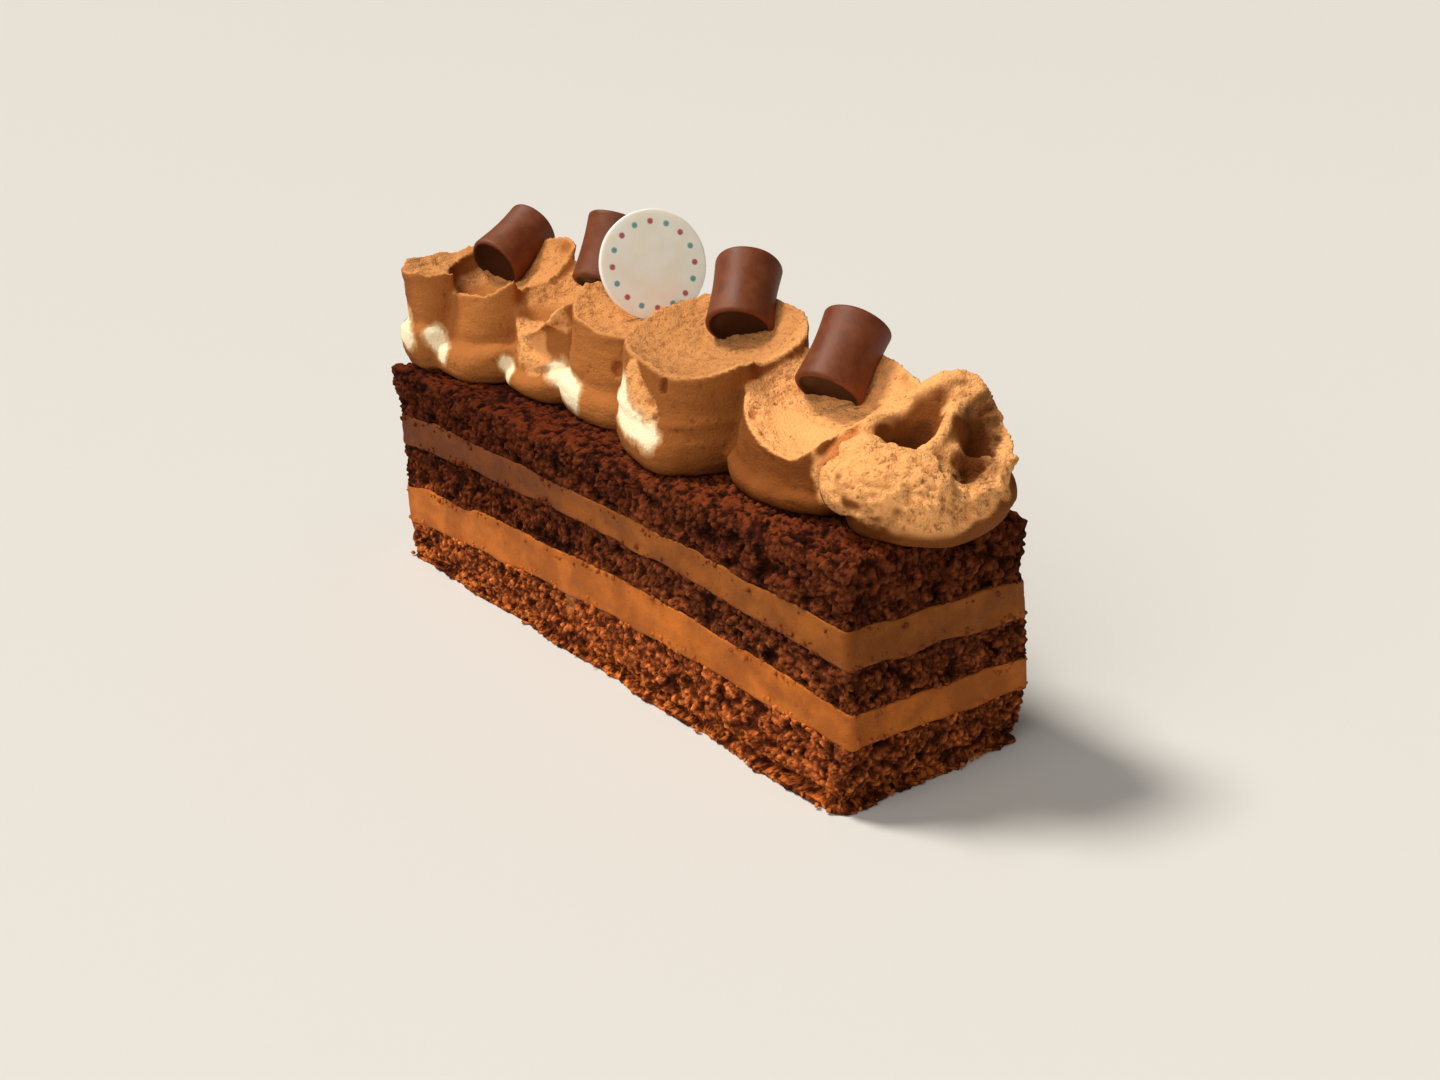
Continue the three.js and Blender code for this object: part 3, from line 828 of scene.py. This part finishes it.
ruffle = {
    "sharpness": 2.6,
    "segments": 144,
    "voxel": 0.5,
    "sink": 0.5,
    "lobes": [  # foot and rim ovals, rim height with its rise at +X and +Y, turn in degrees
        {"foot": (-72.6, -6.4, 7.2, 11.2), "rim": (-72.2, -8.4, 7.8, 10.6), "height": (67.2, -0.3, 1.2),
         "turn": 0, "roll": 1.15, "rollAt": 0.36, "groove": 0.93, "dish": 1.6},
        {"foot": (-62.4, -2.6, 15.2, 13.2), "rim": (-60, 0.5, 15.5, 12.5), "height": (67, 2.5, 5),
         "turn": -4, "roll": 1.14, "rollAt": 0.3, "dish": 6.4},
        {"foot": (-39.5, 0.8, 11.6, 12.2), "rim": (-39.3, 2.8, 10.8, 12), "height": (66.8, 1, 5),
         "dip": 4, "turn": -4, "roll": 1.08, "rollAt": 0.25, "dish": 5},
        {"foot": (-16.8, 0.8, 15.2, 11.8), "rim": (-17, 1.8, 12.8, 10.8), "height": (66.2, -2.4, 1),
         "dip": 1.6, "turn": -8, "roll": 1.08, "dish": 2.4},
        {"foot": (13.6, -2.2, 14, 17), "rim": (12.5, 0, 18.5, 15), "height": (67.2, -1, 4.3),
         "turn": -8, "roll": 1.06, "rollAt": 0.36, "waist": 1.0, "groove": 1.02, "dish": 4.4},
        {"foot": (41.3, 0.2, 15.2, 13.4), "rim": (44.6, 0.5, 16.2, 13.5), "height": (61.8, -3.4, 5.5),
         "dip": 1, "turn": -6, "roll": 1.09, "rollAt": 0.34, "waist": 0.985, "groove": 0.97, "dish": 4.6,
         "joinsTail": True},
        {"foot": (66.3, 1.8, 11, 12.8), "rim": (68.4, 2.4, 11.6, 11.8), "height": (58, 0.5, 5),
         "turn": 0, "roll": 1.12, "rollAt": 0.5, "groove": 0.96, "dish": 0, "tail": True},
    ],
    "lumps": [
        {"at": (67.4, -8.2, 54), "half": (11, 7.6, 6.2), "turn": 22},
        {"at": (63.0, -8.8, 57.2), "half": (4.6, 4.6, 4.4)},
        {"at": (72.6, -6.4, 53.6), "half": (6.6, 5.8, 5.6), "turn": 40},
        {"at": (61.6, -11.2, 53), "half": (4.8, 4.6, 4.8)},
    ],
    "dent": [  # corners of the wedge torn out of the third lobe
        (-43.5, -10.8, 54.2), (-30.5, -12, 62.5), (-30.5, -4.8, 61.2), (-30.5, -12, 51), (-30.5, -4.8, 52),
        (-31.5, -4.4, 57),
    ],
    "holes": [
        {"at": (-8.2, -7.7, 56.4), "half": (1.3, 1.4, 1.7)},
        {"at": (-53.4, -12.6, 61.7), "half": (3.4, 1.2, 0.7)},
        {"at": (10.4, -15.6, 58.8), "half": (0.9, 1.2, 1.4)},
        {"at": (14.4, -16.2, 56.4), "half": (1.5, 1.2, 0.9)},
        {"at": (16.8, -16.6, 54.3), "half": (1.2, 1.1, 0.8)},
        {"at": (17.2, -15.2, 60.2), "half": (0.8, 1.4, 2.0)},
        {"at": (32.1, -6.6, 60.5), "half": (0.9, 1.0, 0.7)},
        {"at": (34.6, -8.7, 57.9), "half": (1.1, 1.1, 1.1)},
        {"at": (40.2, -10, 55.6), "half": (2.4, 0.9, 0.7)},
        {"at": (65.4, -14.6, 54.0), "half": (1.3, 1.0, 0.9)},
        {"at": (66.6, -13.4, 50.6), "half": (1.8, 0.9, 0.8)},
        {"at": (71.2, 7.2, 59.4), "half": (1.4, 1.8, 1.3)},
    ],
}
creamMarks = {  # lines with a reach around them
    "ivory": [
        {"line": [(-75.6, -19.4, 55.4), (-74, -20.6, 53), (-72, -20.5, 51)], "reach": 4.2},
        {"line": [(-65.4, -16.8, 53), (-63, -17, 49.6)], "reach": 3.9},
        {"line": [(-46.3, -10.2, 49.8), (-44.4, -10.6, 47.6)], "reach": 2.6},
        {"line": [(-30.6, -7.6, 51.6), (-25, -9.4, 49.7), (-19.5, -11, 48.3)], "reach": 4.4},
        {"line": [(3, -13.2, 56.6), (5.6, -15.6, 53.6), (9.6, -16.8, 52), (16, -17.4, 50.8)], "reach": 4.6},
    ],
    "torn": [
        {"line": [(7, -14.6, 60), (10, -15.6, 57), (14, -16.2, 54.5)], "reach": 3.6},
        {"line": [(-41, -8, 60), (-38, -8.5, 52)], "reach": 5.5},
        {"line": [(-33, -6, 63), (-31, -6, 61)], "reach": 3},
        {"line": [(62, -9, 54), (72, -5, 54)], "reach": 10.5},
        {"line": [(73.5, 13, 61.8), (79, 8.5, 55.6), (79.8, 2, 54), (78, -5, 52)], "reach": 4.6},
        {"line": [(69, -3.2, 60), (68, 3.6, 65.8), (68.2, 11.4, 67.8)], "reach": 3.6},
        {"line": [(30.5, -4.5, 61.5), (34.8, -8.1, 57.9), (39.4, -8.9, 56.1), (44.2, -9.8, 55.2)],
         "reach": 1.8},
    ],
    "coarse": [
        {"line": [(62, -10, 54), (70, -9, 54), (76, -4, 55)], "reach": 8},
        {"line": [(79, 2, 54), (77, 10, 58), (70, 13.8, 65.6)], "reach": 4},
        {"line": [(-41, -8, 60), (-36, -9, 58)], "reach": 4},
    ],
    # Painted shade: these concavities of the tail are kept out of the lighter top colour.
    "hollow": [
        {"line": [(64, 4, 62), (63.9, 1, 58), (62.8, -4, 60)], "reach": 3.8},
        {"line": [(71.6, 8.4, 60), (71.8, 6.4, 56), (74.2, 3.2, 57)], "reach": 4.2},
    ],
    # Painted shade: these lines darken the tail's concavities.
    "shaded": [
        {"line": [(70.6, 11, 64), (71.4, 8.6, 58), (75.4, 3.6, 56.4)], "reach": 5},
        {"line": [(64, 3.6, 60), (63.6, -1, 58)], "reach": 3.2},
    ],
    "sleek": [
        {"line": [(-36, -8.6, 55.6), (-31, -6.6, 57)], "reach": 4},
        {"line": [(64, 6.6, 67.4), (63.8, 1, 60), (62.8, -4.6, 61)], "reach": 3.6},
        {"line": [(72, -12, 46.5), (77.5, -6, 47), (80, 2, 47.6)], "reach": 3.0},
        {"line": [(38, -4, 57), (48, -4, 57.5)], "reach": 4.4},
    ],
}
tail = {
    "blend": 0.5,
    "ground": (57.6, 0.4),  # height in the middle of the last lobe, and fall for each mm to the front
    "front": (0.781, -0.624),
    "ridges": [  # crest lines, roundness of the crest and steepness of its sides
        {"line": [(55.5, -10.5, 59.6), (59.4, -6.5, 62.8), (60.8, -2, 65), (61.6, 2, 66.8), (62, 5, 68.2)],
         "round": 1.7, "steep": 2.6},
        {"line": [(62, 5, 68.2), (62.6, 8, 69.2), (64, 11.2, 69.4), (66.5, 13, 68.6), (70, 13.8, 65.6),
                  (73.5, 13, 61.8), (76.8, 11.5, 58.4), (79, 8.5, 55.6), (79.8, 4, 54), (79, -1, 53.6),
                  (77, -6, 51.8), (73.5, -11, 49.6)], "round": 2.0, "steep": 1.6},
        {"line": [(68.2, 11.4, 67.8), (68, 7, 67.2), (68, 3.6, 65.8), (68.4, 0, 62.8), (69, -3.2, 60),
                  (68.5, -6, 59)], "round": 1.7, "steep": 3.0},
        {"line": [(61.5, -8.2, 58.6), (66.5, -7.6, 60.8), (71, -5.4, 60.0)], "round": 6, "steep": 1.2},
        {"line": [(70.4, 2.4, 60.4), (72, 4, 60.2), (74.6, 6.6, 59.4)], "round": 1.0, "steep": 2.0},
        {"line": [(75.8, 4.5, 57.6), (76.7, 9, 58.6)], "round": 2.6, "steep": 1.2},
    ],
    "pits": [
        {"at": (64.5, 0.8), "depth": 13, "radius": 3.3},
        {"at": (63.2, -3.2), "depth": 4, "radius": 2.2},
        {"at": (70.8, 9), "depth": 8, "radius": 3.1},
        {"at": (74.4, 3.2), "depth": 3.2, "radius": 2.1},
    ],
}


# Height of the nearest point of a line and the distance to it, seen from above.
def nearestOnLine(line, x, y):
    best, height = np.full(np.shape(x), np.inf), np.zeros(np.shape(x))
    for start, end in zip(line[:-1], line[1:]):
        ax, ay, az = start
        dx, dy, dz = np.subtract(end, start)
        share = np.clip(((x - ax) * dx + (y - ay) * dy) / (dx * dx + dy * dy), 0, 1)
        away = np.hypot(x - ax - share * dx, y - ay - share * dy)
        nearer = away < best
        height = np.where(nearer, az + share * dz, height)
        best = np.minimum(best, away)
    return height, best


# The tail's top is like a range of hills: the ridges fall away to both sides, the highest
# counts, and pits are sunk between them.
def tailTop(x, y):
    middleX, middleY = ruffle["lobes"][-1]["rim"][:2]
    frontX, frontY = tail["front"]
    level, fall = tail["ground"]
    ground = level - fall * (frontX * (x - middleX) + frontY * (y - middleY))
    blend = tail["blend"]
    base = 60  # keeps the powers small
    total = np.exp((ground - base) / blend)
    for ridge in tail["ridges"]:
        height, away = nearestOnLine(ridge["line"], x, y)
        radius = ridge["round"]
        near = np.minimum(away, 0.8 * radius)
        drop = radius - np.sqrt(radius * radius - near * near) + (away - near) * ridge["steep"]
        total += np.exp((height - drop - base) / blend)
    top = base + blend * np.log(total)
    for pit in tail["pits"]:
        away = np.hypot(x - pit["at"][0], y - pit["at"][1])
        top = top - pit["depth"] * np.exp(-(away / pit["radius"]) ** 2)
    return top


def ovalPoint(oval, turn, direction, share):
    middleX, middleY, halfLength, halfWidth = oval
    power = 2 / ruffle["sharpness"]
    x = share * halfLength * np.sign(np.cos(direction)) * np.abs(np.cos(direction)) ** power
    y = share * halfWidth * np.sign(np.sin(direction)) * np.abs(np.sin(direction)) ** power
    c, s = math.cos(math.radians(turn)), math.sin(math.radians(turn))
    return middleX + x * c - y * s, middleY + x * s + y * c


# A lobe's section from the foot roll past a groove and up the wall to the crest, and its dish.
def lobeSection(lobe):
    roll, at = lobe["roll"], lobe.get("rollAt", 0.25)
    waist, groove = lobe.get("waist", 0.955), lobe.get("groove", 0.9)
    wall = [(roll - 0.3, 0), (roll - 0.16, at * 0.12), (roll - 0.06, at * 0.4), (roll - 0.01, at * 0.75),
            (roll, at), (roll - 0.025, at + 0.07), (groove, at + 0.14), (groove + 0.03, at + 0.17),
            (waist, at + 0.26), (waist, 0.78), ((waist + 0.99) / 2, 0.9), (0.995, 0.96), (0.995, 0.985),
            (0.98, 1)]
    depth = lobe["dish"] / (lobe["height"][0] - cake["height"])
    dish = [(0.95, 0.997), (0.86, 1 - depth * 0.3), (0.6, 1 - depth * 0.8), (0.3, 1 - depth * 0.97),
            (0.1, 1 - depth)]
    return softSection(wall, 64, 1), softSection(dish, 34, 2)


# Points at even steps through a section's corners, rounded by averaging.
def softSection(corners, count, rounds):
    corners = np.array(corners)
    length = np.r_[0, np.cumsum(np.hypot(*np.diff(corners, axis=0).T))]
    even = np.linspace(0, length[-1], count)
    points = np.stack([np.interp(even, length, corners[:, axis]) for axis in (0, 1)], 1)
    for _ in range(rounds):
        points[1:-1] = (points[:-2] + 2 * points[1:-1] + points[2:]) / 4
    return points.tolist()


def lobeMesh(lobe, wall, dish, index):
    direction = np.linspace(0, 2 * math.pi, ruffle["segments"], endpoint=False)
    mean, riseX, riseY = lobe["height"]
    dip = lobe.get("dip", 0) * np.maximum(0, -np.sin(direction)) ** 3
    ripple = 0.4 * np.sin(4 * direction + index * 2.3) + 0.22 * np.sin(9 * direction + index)
    rings = []
    for row, (share, level) in enumerate(wall + dish):
        wobble = 1 + 0.016 * math.sin(level * 5 + index) * np.sin(3 * direction + index * 1.7)
        mix = min(max(level, 0), 1)
        footX, footY = ovalPoint(lobe["foot"], lobe["turn"], direction, share * wobble)
        rimX, rimY = ovalPoint(lobe["rim"], lobe["turn"], direction, share * wobble)
        x, y = footX + (rimX - footX) * mix, footY + (rimY - footY) * mix
        foot = boundaryAt("top", x, y) - ruffle["sink"]
        rim = mean + share * (riseX * np.cos(direction) + riseY * np.sin(direction) - dip + ripple)
        if lobe.get("tail"):
            rim = tailTop(rimX, rimY)
        z = foot + (rim - foot) * level
        if lobe.get("joinsTail"):
            top = z if row >= len(wall) else rim
            hill = tailTop(x, y)
            z = z + (np.logaddexp(top, hill) - top) * mix ** 4 * smoothStep(x, 50, 56)
        rings.append(np.stack([x, y, z], 1))
    return ringMesh(f"lobe{index}", np.array(rings))


# Ellipsoids in one mesh, each with its middle, its half sizes and perhaps a turn in degrees.
def ellipsoids(name, shapes, subdivisions=3):
    mesh = bpy.data.meshes.new(name)
    balls = bmesh.new()
    for shape in shapes:
        turn = Matrix.Rotation(math.radians(shape.get("turn", 0)), 4, "Z")
        place = Matrix.Translation(shape["at"]) @ turn @ Matrix.Diagonal((*shape["half"], 1))
        bmesh.ops.create_icosphere(balls, subdivisions=subdivisions, radius=1, matrix=place)
    balls.to_mesh(mesh)
    balls.free()
    return addObject(name, mesh)


def hullMesh(name, corners):
    mesh = bpy.data.meshes.new(name)
    hull = bmesh.new()
    for corner in corners:
        hull.verts.new(corner)
    bmesh.ops.convex_hull(hull, input=hull.verts)
    hull.to_mesh(mesh)
    hull.free()
    return addObject(name, mesh)


def combine(base, other, operation):
    modifier = base.modifiers.new(operation, "BOOLEAN")
    modifier.operation = operation
    modifier.solver = "MANIFOLD"
    modifier.object = other
    settle(base)
    bpy.data.objects.remove(other)


def buildRuffle():
    body = None
    for index, lobe in enumerate(ruffle["lobes"]):
        wall, dish = lobeSection(lobe)
        if lobe.get("tail"):
            dish = [(share, 1) for share in np.linspace(0.96, 0.04, 44)]
        drum = lobeMesh(lobe, [(0.5, 0)] + wall, dish, index)
        if body is None:
            body = drum
            continue
        above = [(0.94, 1), (0.98, 1.1), (0.98, 1.9), (0.1, 1.9)]
        combine(body, lobeMesh(lobe, [], dish[::-1] + above, index), "DIFFERENCE")
        combine(body, drum, "UNION")
    for lump in ruffle["lumps"]:
        combine(body, ellipsoids("lump", [lump], 5), "UNION")
    combine(body, hullMesh("dent", ruffle["dent"]), "DIFFERENCE")
    combine(body, ellipsoids("holes", ruffle["holes"]), "DIFFERENCE")
    body.name = "pipedCream"
    return body


def remeshRuffle(body):
    remesh = body.modifiers.new("voxels", "REMESH")
    remesh.mode = "VOXEL"
    remesh.voxel_size = ruffle["voxel"]
    soften = body.modifiers.new("soften", "SMOOTH")
    soften.factor = 0.5
    soften.iterations = 3
    settle(body)


# How near each point is to a set of lines: 1 on a line and 0 at its reach.
def nearness(points, marks):
    best = np.zeros(len(points))
    for mark in marks:
        line = np.array(mark["line"], float)
        for start, end in zip(line[:-1], line[1:]):
            along = end - start
            share = np.clip((points - start) @ along / (along @ along), 0, 1)
            away = np.linalg.norm(points - start - share[:, None] * along, axis=1)
            best = np.maximum(best, 1 - away / mark["reach"])
    return best


# Stores where the cream is rough, aerated (also painted lighter on upward faces and on the ball, as painted
# light), mixed with ivory (also painted light and shade on the walls), ivory, and where painted shade darkens
# the tail's concavities. Below 0, mixed is painted shade on the walls past x = 27.
def markRuffle(body):
    points = getPoints(body)
    normals = np.empty(len(points) * 3)
    body.data.vertex_normals.foreach_get("vector", normals)
    upward = normals.reshape(-1, 3)[:, 2]
    uneven = 0.25 * smoothNoise(points.T, 2.2, 5) + 0.2 * smoothNoise(points.T, 5, 6)
    crest = 61 - 7 * smoothStep(points[:, 0], 24, 40)
    # Upward faces above the crest height take the aerated colour, which is partly painted light.
    onTop = smoothStep(upward + uneven * 0.5, 0.3, 0.65) * smoothStep(points[:, 2], crest - 1, crest + 1)

    def spread(kind, low, high):
        near = nearness(points, creamMarks[kind])
        return smoothStep(near + uneven * smoothStep(near, 0, 0.2), low, high)

    # Painted shade in the tail's concavities.
    hollow = spread("hollow", 0.15, 0.6)
    torn = spread("torn", 0.1, 0.3)
    sleek = spread("sleek", 0.1, 0.4)
    # Below z = 50.5 the cream loses most roughness and, as painted shade, the aerated colour.
    low = smoothStep(points[:, 2] + 2 * uneven, 50.5, 47.5)
    coarse = 1 + 0.7 * spread("coarse", 0.1, 0.4)
    storeValues(body, "rough", np.maximum(onTop, torn) * (1 - 0.8 * sleek) * (1 - 0.7 * low) * coarse)
    # Painted light: past x = 22 the ball and tail get a lighter aerated colour, as if lit.
    paler = smoothStep(points[:, 0] + 3 * uneven, 22, 34)
    pale = np.maximum(onTop * (0.5 + 0.44 * paler), torn * (0.72 + 0.28 * paler))
    storeValues(body, "aerated", pale * (1 - low) * (1 - hollow))
    # Lighter walls on the left lobes, partly ivory mixed in and partly painted light; painted shade on the
    # first lobe's wall and, below 0, past x = 27.
    mixed = smoothStep(points[:, 0] + 8 * uneven, 4, -6) * smoothStep(points[:, 0] + 2 * uneven, -74, -69)
    storeValues(body, "mixed", mixed - 0.5 * smoothStep(points[:, 0], 27, 33))
    storeValues(body, "ivory", nearness(points, creamMarks["ivory"]))
    # Painted shade, stored for the tail's concavities.
    storeValues(body, "hollow", spread("shaded", 0.1, 0.6))


def makeRuffle(material):
    body = buildRuffle()
    report("lobes joined")
    remeshRuffle(body)
    report("ruffle remeshed")
    markRuffle(body)
    applyTree(body, makeCreamTree(material), {"Seed": 3})
    finishPiece(body, material, ["piped_cream"])


chocolates = {
    "endRadius": 6.45, "waistRadius": 6.1, "length": 14.6, "edge": 0.7,
    "topHollow": 0.3, "topHollowRadius": 5.9, "baseHollow": 0.7,
    "places": [
        {"at": (-68.7, 1.2, 65.5), "lean": 63, "heading": 104},
        {"at": (-33.8, 6.1, 66.3), "lean": 31, "heading": 114},
        {"at": (13, 5.2, 66.9), "lean": 48, "heading": 131},
        {"at": (40.6, 2.9, 61.3), "lean": 44, "heading": 107},
    ],
}
disc = {"at": (-17, 7.3, 73.6), "radius": 11.1, "thick": 1.2, "edge": 0.3, "heading": -19, "tilt": 16,
        "dots": 16, "dotRing": 8.6, "dotRadius": 0.62}


def leaning(at, lean, heading):
    return (Matrix.Translation(at) @ Matrix.Rotation(math.radians(heading), 4, "Z")
            @ Matrix.Rotation(math.radians(lean), 4, "Y"))


# A round shape from a section's radii and heights, made uneven by a function of turn and height.
def turnedMesh(name, section, count, unevenAt):
    turn = np.linspace(0, 2 * math.pi, count, endpoint=False)
    rings = []
    for radius, height in section:
        reach = radius * unevenAt(turn, height)
        rings.append(np.stack([reach * np.cos(turn), reach * np.sin(turn), np.full_like(turn, height)], 1))
    return ringMesh(name, np.array(rings))


# The hollow base, and then the rest: round the lower edge, up the waisted side and over the top.
def chocolateSection():
    length, edge, endRadius = chocolates["length"], chocolates["edge"], chocolates["endRadius"]
    share = np.linspace(0, 1, 28)
    waist = endRadius + (chocolates["waistRadius"] - endRadius) * np.sin(share * math.pi)
    side = list(zip(waist, edge + (length - 2 * edge) * share))
    arc = np.linspace(0, math.pi / 2, 8)[1:]
    top = [(endRadius - edge * (1 - math.cos(a)), length - edge * (1 - math.sin(a))) for a in arc]
    bottom = [(r, length - h) for r, h in reversed(top)]
    cap = [(r, length - chocolates["topHollow"] * (1 - (r / chocolates["topHollowRadius"]) ** 2))
           for r in (5.6, 5, 4, 2.6, 1.2)]
    base = [(r, chocolates["baseHollow"]) for r in (1.2, 2.6, 4, 4.9)]
    return base + [(5.2, 0.4), (5.45, 0.12), (5.6, 0.03)], bottom + side + top + cap


def makeChocolates(material):
    base, rest = chocolateSection()
    around = 72
    inBase = np.repeat([1, 0], [len(base) * around, len(rest) * around])
    for index, place in enumerate(chocolates["places"]):
        def dent(turn, height):
            oval = 0.012 * np.sin(2 * turn + index * 1.9)
            return 1 + oval + 0.006 * np.sin(5 * turn + height * 0.4 + index)

        piece = turnedMesh(f"chocolate{index + 1}", base + rest, around, dent)
        # Painted shade: the base end is marked for darkening.
        storeValues(piece, "hollow", np.r_[inBase, 1, 0])
        piece.data.transform(leaning(place["at"], place["lean"], place["heading"]))
        finishPiece(piece, material, [f"chocolate_{index + 1}"])


def discSection():
    half, edge, radius = disc["thick"] / 2, disc["edge"], disc["radius"]
    lower = [(r, -half) for r in np.linspace(0.4, radius - edge, 70)]
    for a in np.linspace(0, math.pi / 2, 6)[1:]:
        lower.append((radius - edge + edge * math.sin(a), -half + edge - edge * math.cos(a)))
    return lower + [(r, -h) for r, h in reversed(lower)]


# Stores the dots on the disc's front, and which of its two colours each has.
def markDots(piece):
    points = getPoints(piece)
    step = 2 * math.pi / disc["dots"]
    nearest = np.round(np.arctan2(points[:, 1], points[:, 0]) / step)
    dotX, dotY = disc["dotRing"] * np.cos(nearest * step), disc["dotRing"] * np.sin(nearest * step)
    away = np.hypot(points[:, 0] - dotX, points[:, 1] - dotY)
    inDot = 1 - smoothStep(away, disc["dotRadius"] - 0.12, disc["dotRadius"] + 0.06)
    onFront = points[:, 2] > disc["thick"] / 4
    storeValues(piece, "mark", inDot * onFront)
    storeValues(piece, "kind", nearest % 2)


def makeDisc(material):
    def wavy(turn, height):
        return 1 + 0.004 * np.sin(3 * turn + 1) + 0.002 * np.sin(11 * turn)

    piece = turnedMesh("topperDisc", discSection(), 240, wavy)
    markDots(piece)
    piece.data.transform(leaning(disc["at"], 90 - disc["tilt"], disc["heading"]))
    finishPiece(piece, material, ["topper_disc"])


view = {"at": (240.19, -180.32, 140.97), "target": (8.41, 4.74, 22.93), "roll": 0.467, "lens": 40,
        "sensor": 36}


def makeCamera():
    data = bpy.data.cameras.new("camera")
    data.lens = view["lens"]
    data.sensor_width = view["sensor"]
    data.clip_start = 0.01  # metres
    camera = bpy.data.objects.new("camera", data)
    bpy.context.scene.collection.objects.link(camera)
    at, target = Vector(view["at"]) * mm, Vector(view["target"]) * mm
    camera.rotation_mode = "QUATERNION"
    camera.location = at
    look = (target - at).to_track_quat("-Z", "Y")
    camera.rotation_quaternion = look @ Quaternion((0, 0, 1), math.radians(view["roll"]))
    bpy.context.scene.camera = camera


def addSun(name, towards, strength, angle, colour):
    data = bpy.data.lights.new(name, "SUN")
    data.energy = strength
    data.angle = math.radians(angle)
    data.color = colour
    light = bpy.data.objects.new(name, data)
    bpy.context.scene.collection.objects.link(light)
    light.rotation_euler = Vector(towards).to_track_quat("Z", "Y").to_euler()


studio = {
    "suns": [
        {"name": "key", "towards": (-0.42, -0.3, 0.86), "strength": 3.2, "angle": 16,
         "colour": (1, 0.95, 0.87)},
        {"name": "fill", "towards": (0.28, -0.74, 0.61), "strength": 1.65, "angle": 60,
         "colour": (1, 0.97, 0.92)},
    ],
    "sky": (1, 0.96, 0.9),
    "skyStrength": 0.12,
    "floor": (0.64, 0.625, 0.60),
    "floorSize": 12,  # metres
}


def makeStudio():
    for sun in studio["suns"]:
        addSun(**sun)
    world = bpy.data.worlds.new("studio")
    bpy.context.scene.world = world
    world.use_nodes = True
    background = world.node_tree.nodes["Background"]
    background.inputs["Color"].default_value = (*studio["sky"], 1)
    background.inputs["Strength"].default_value = studio["skyStrength"]
    bpy.ops.mesh.primitive_plane_add(size=studio["floorSize"])
    floor = bpy.context.object
    floor.name = "floor"
    material, _, shader = newMaterial("paleFloor")
    shader.inputs["Base Color"].default_value = (*studio["floor"], 1)
    setShader(shader, roughness=0.7, specular=0.2)
    floor.data.materials.append(material)
    bpy.context.scene.view_settings.view_transform = "Standard"


makeCamera()
makeStudio()
report("studio")
spongeMaterial = makeSpongeMaterial()
makeSponges(spongeMaterial)
makeLooseCrumbs(spongeMaterial)
report("sponge")
makeFillings(makeMousseMaterial())
makeSmearedCrumbs(spongeMaterial)
report("mousse")
makeRuffle(makeCreamMaterial())
report("cream")
makeChocolates(makeChocolateMaterial())
makeDisc(makeDiscMaterial())
report("toppings")
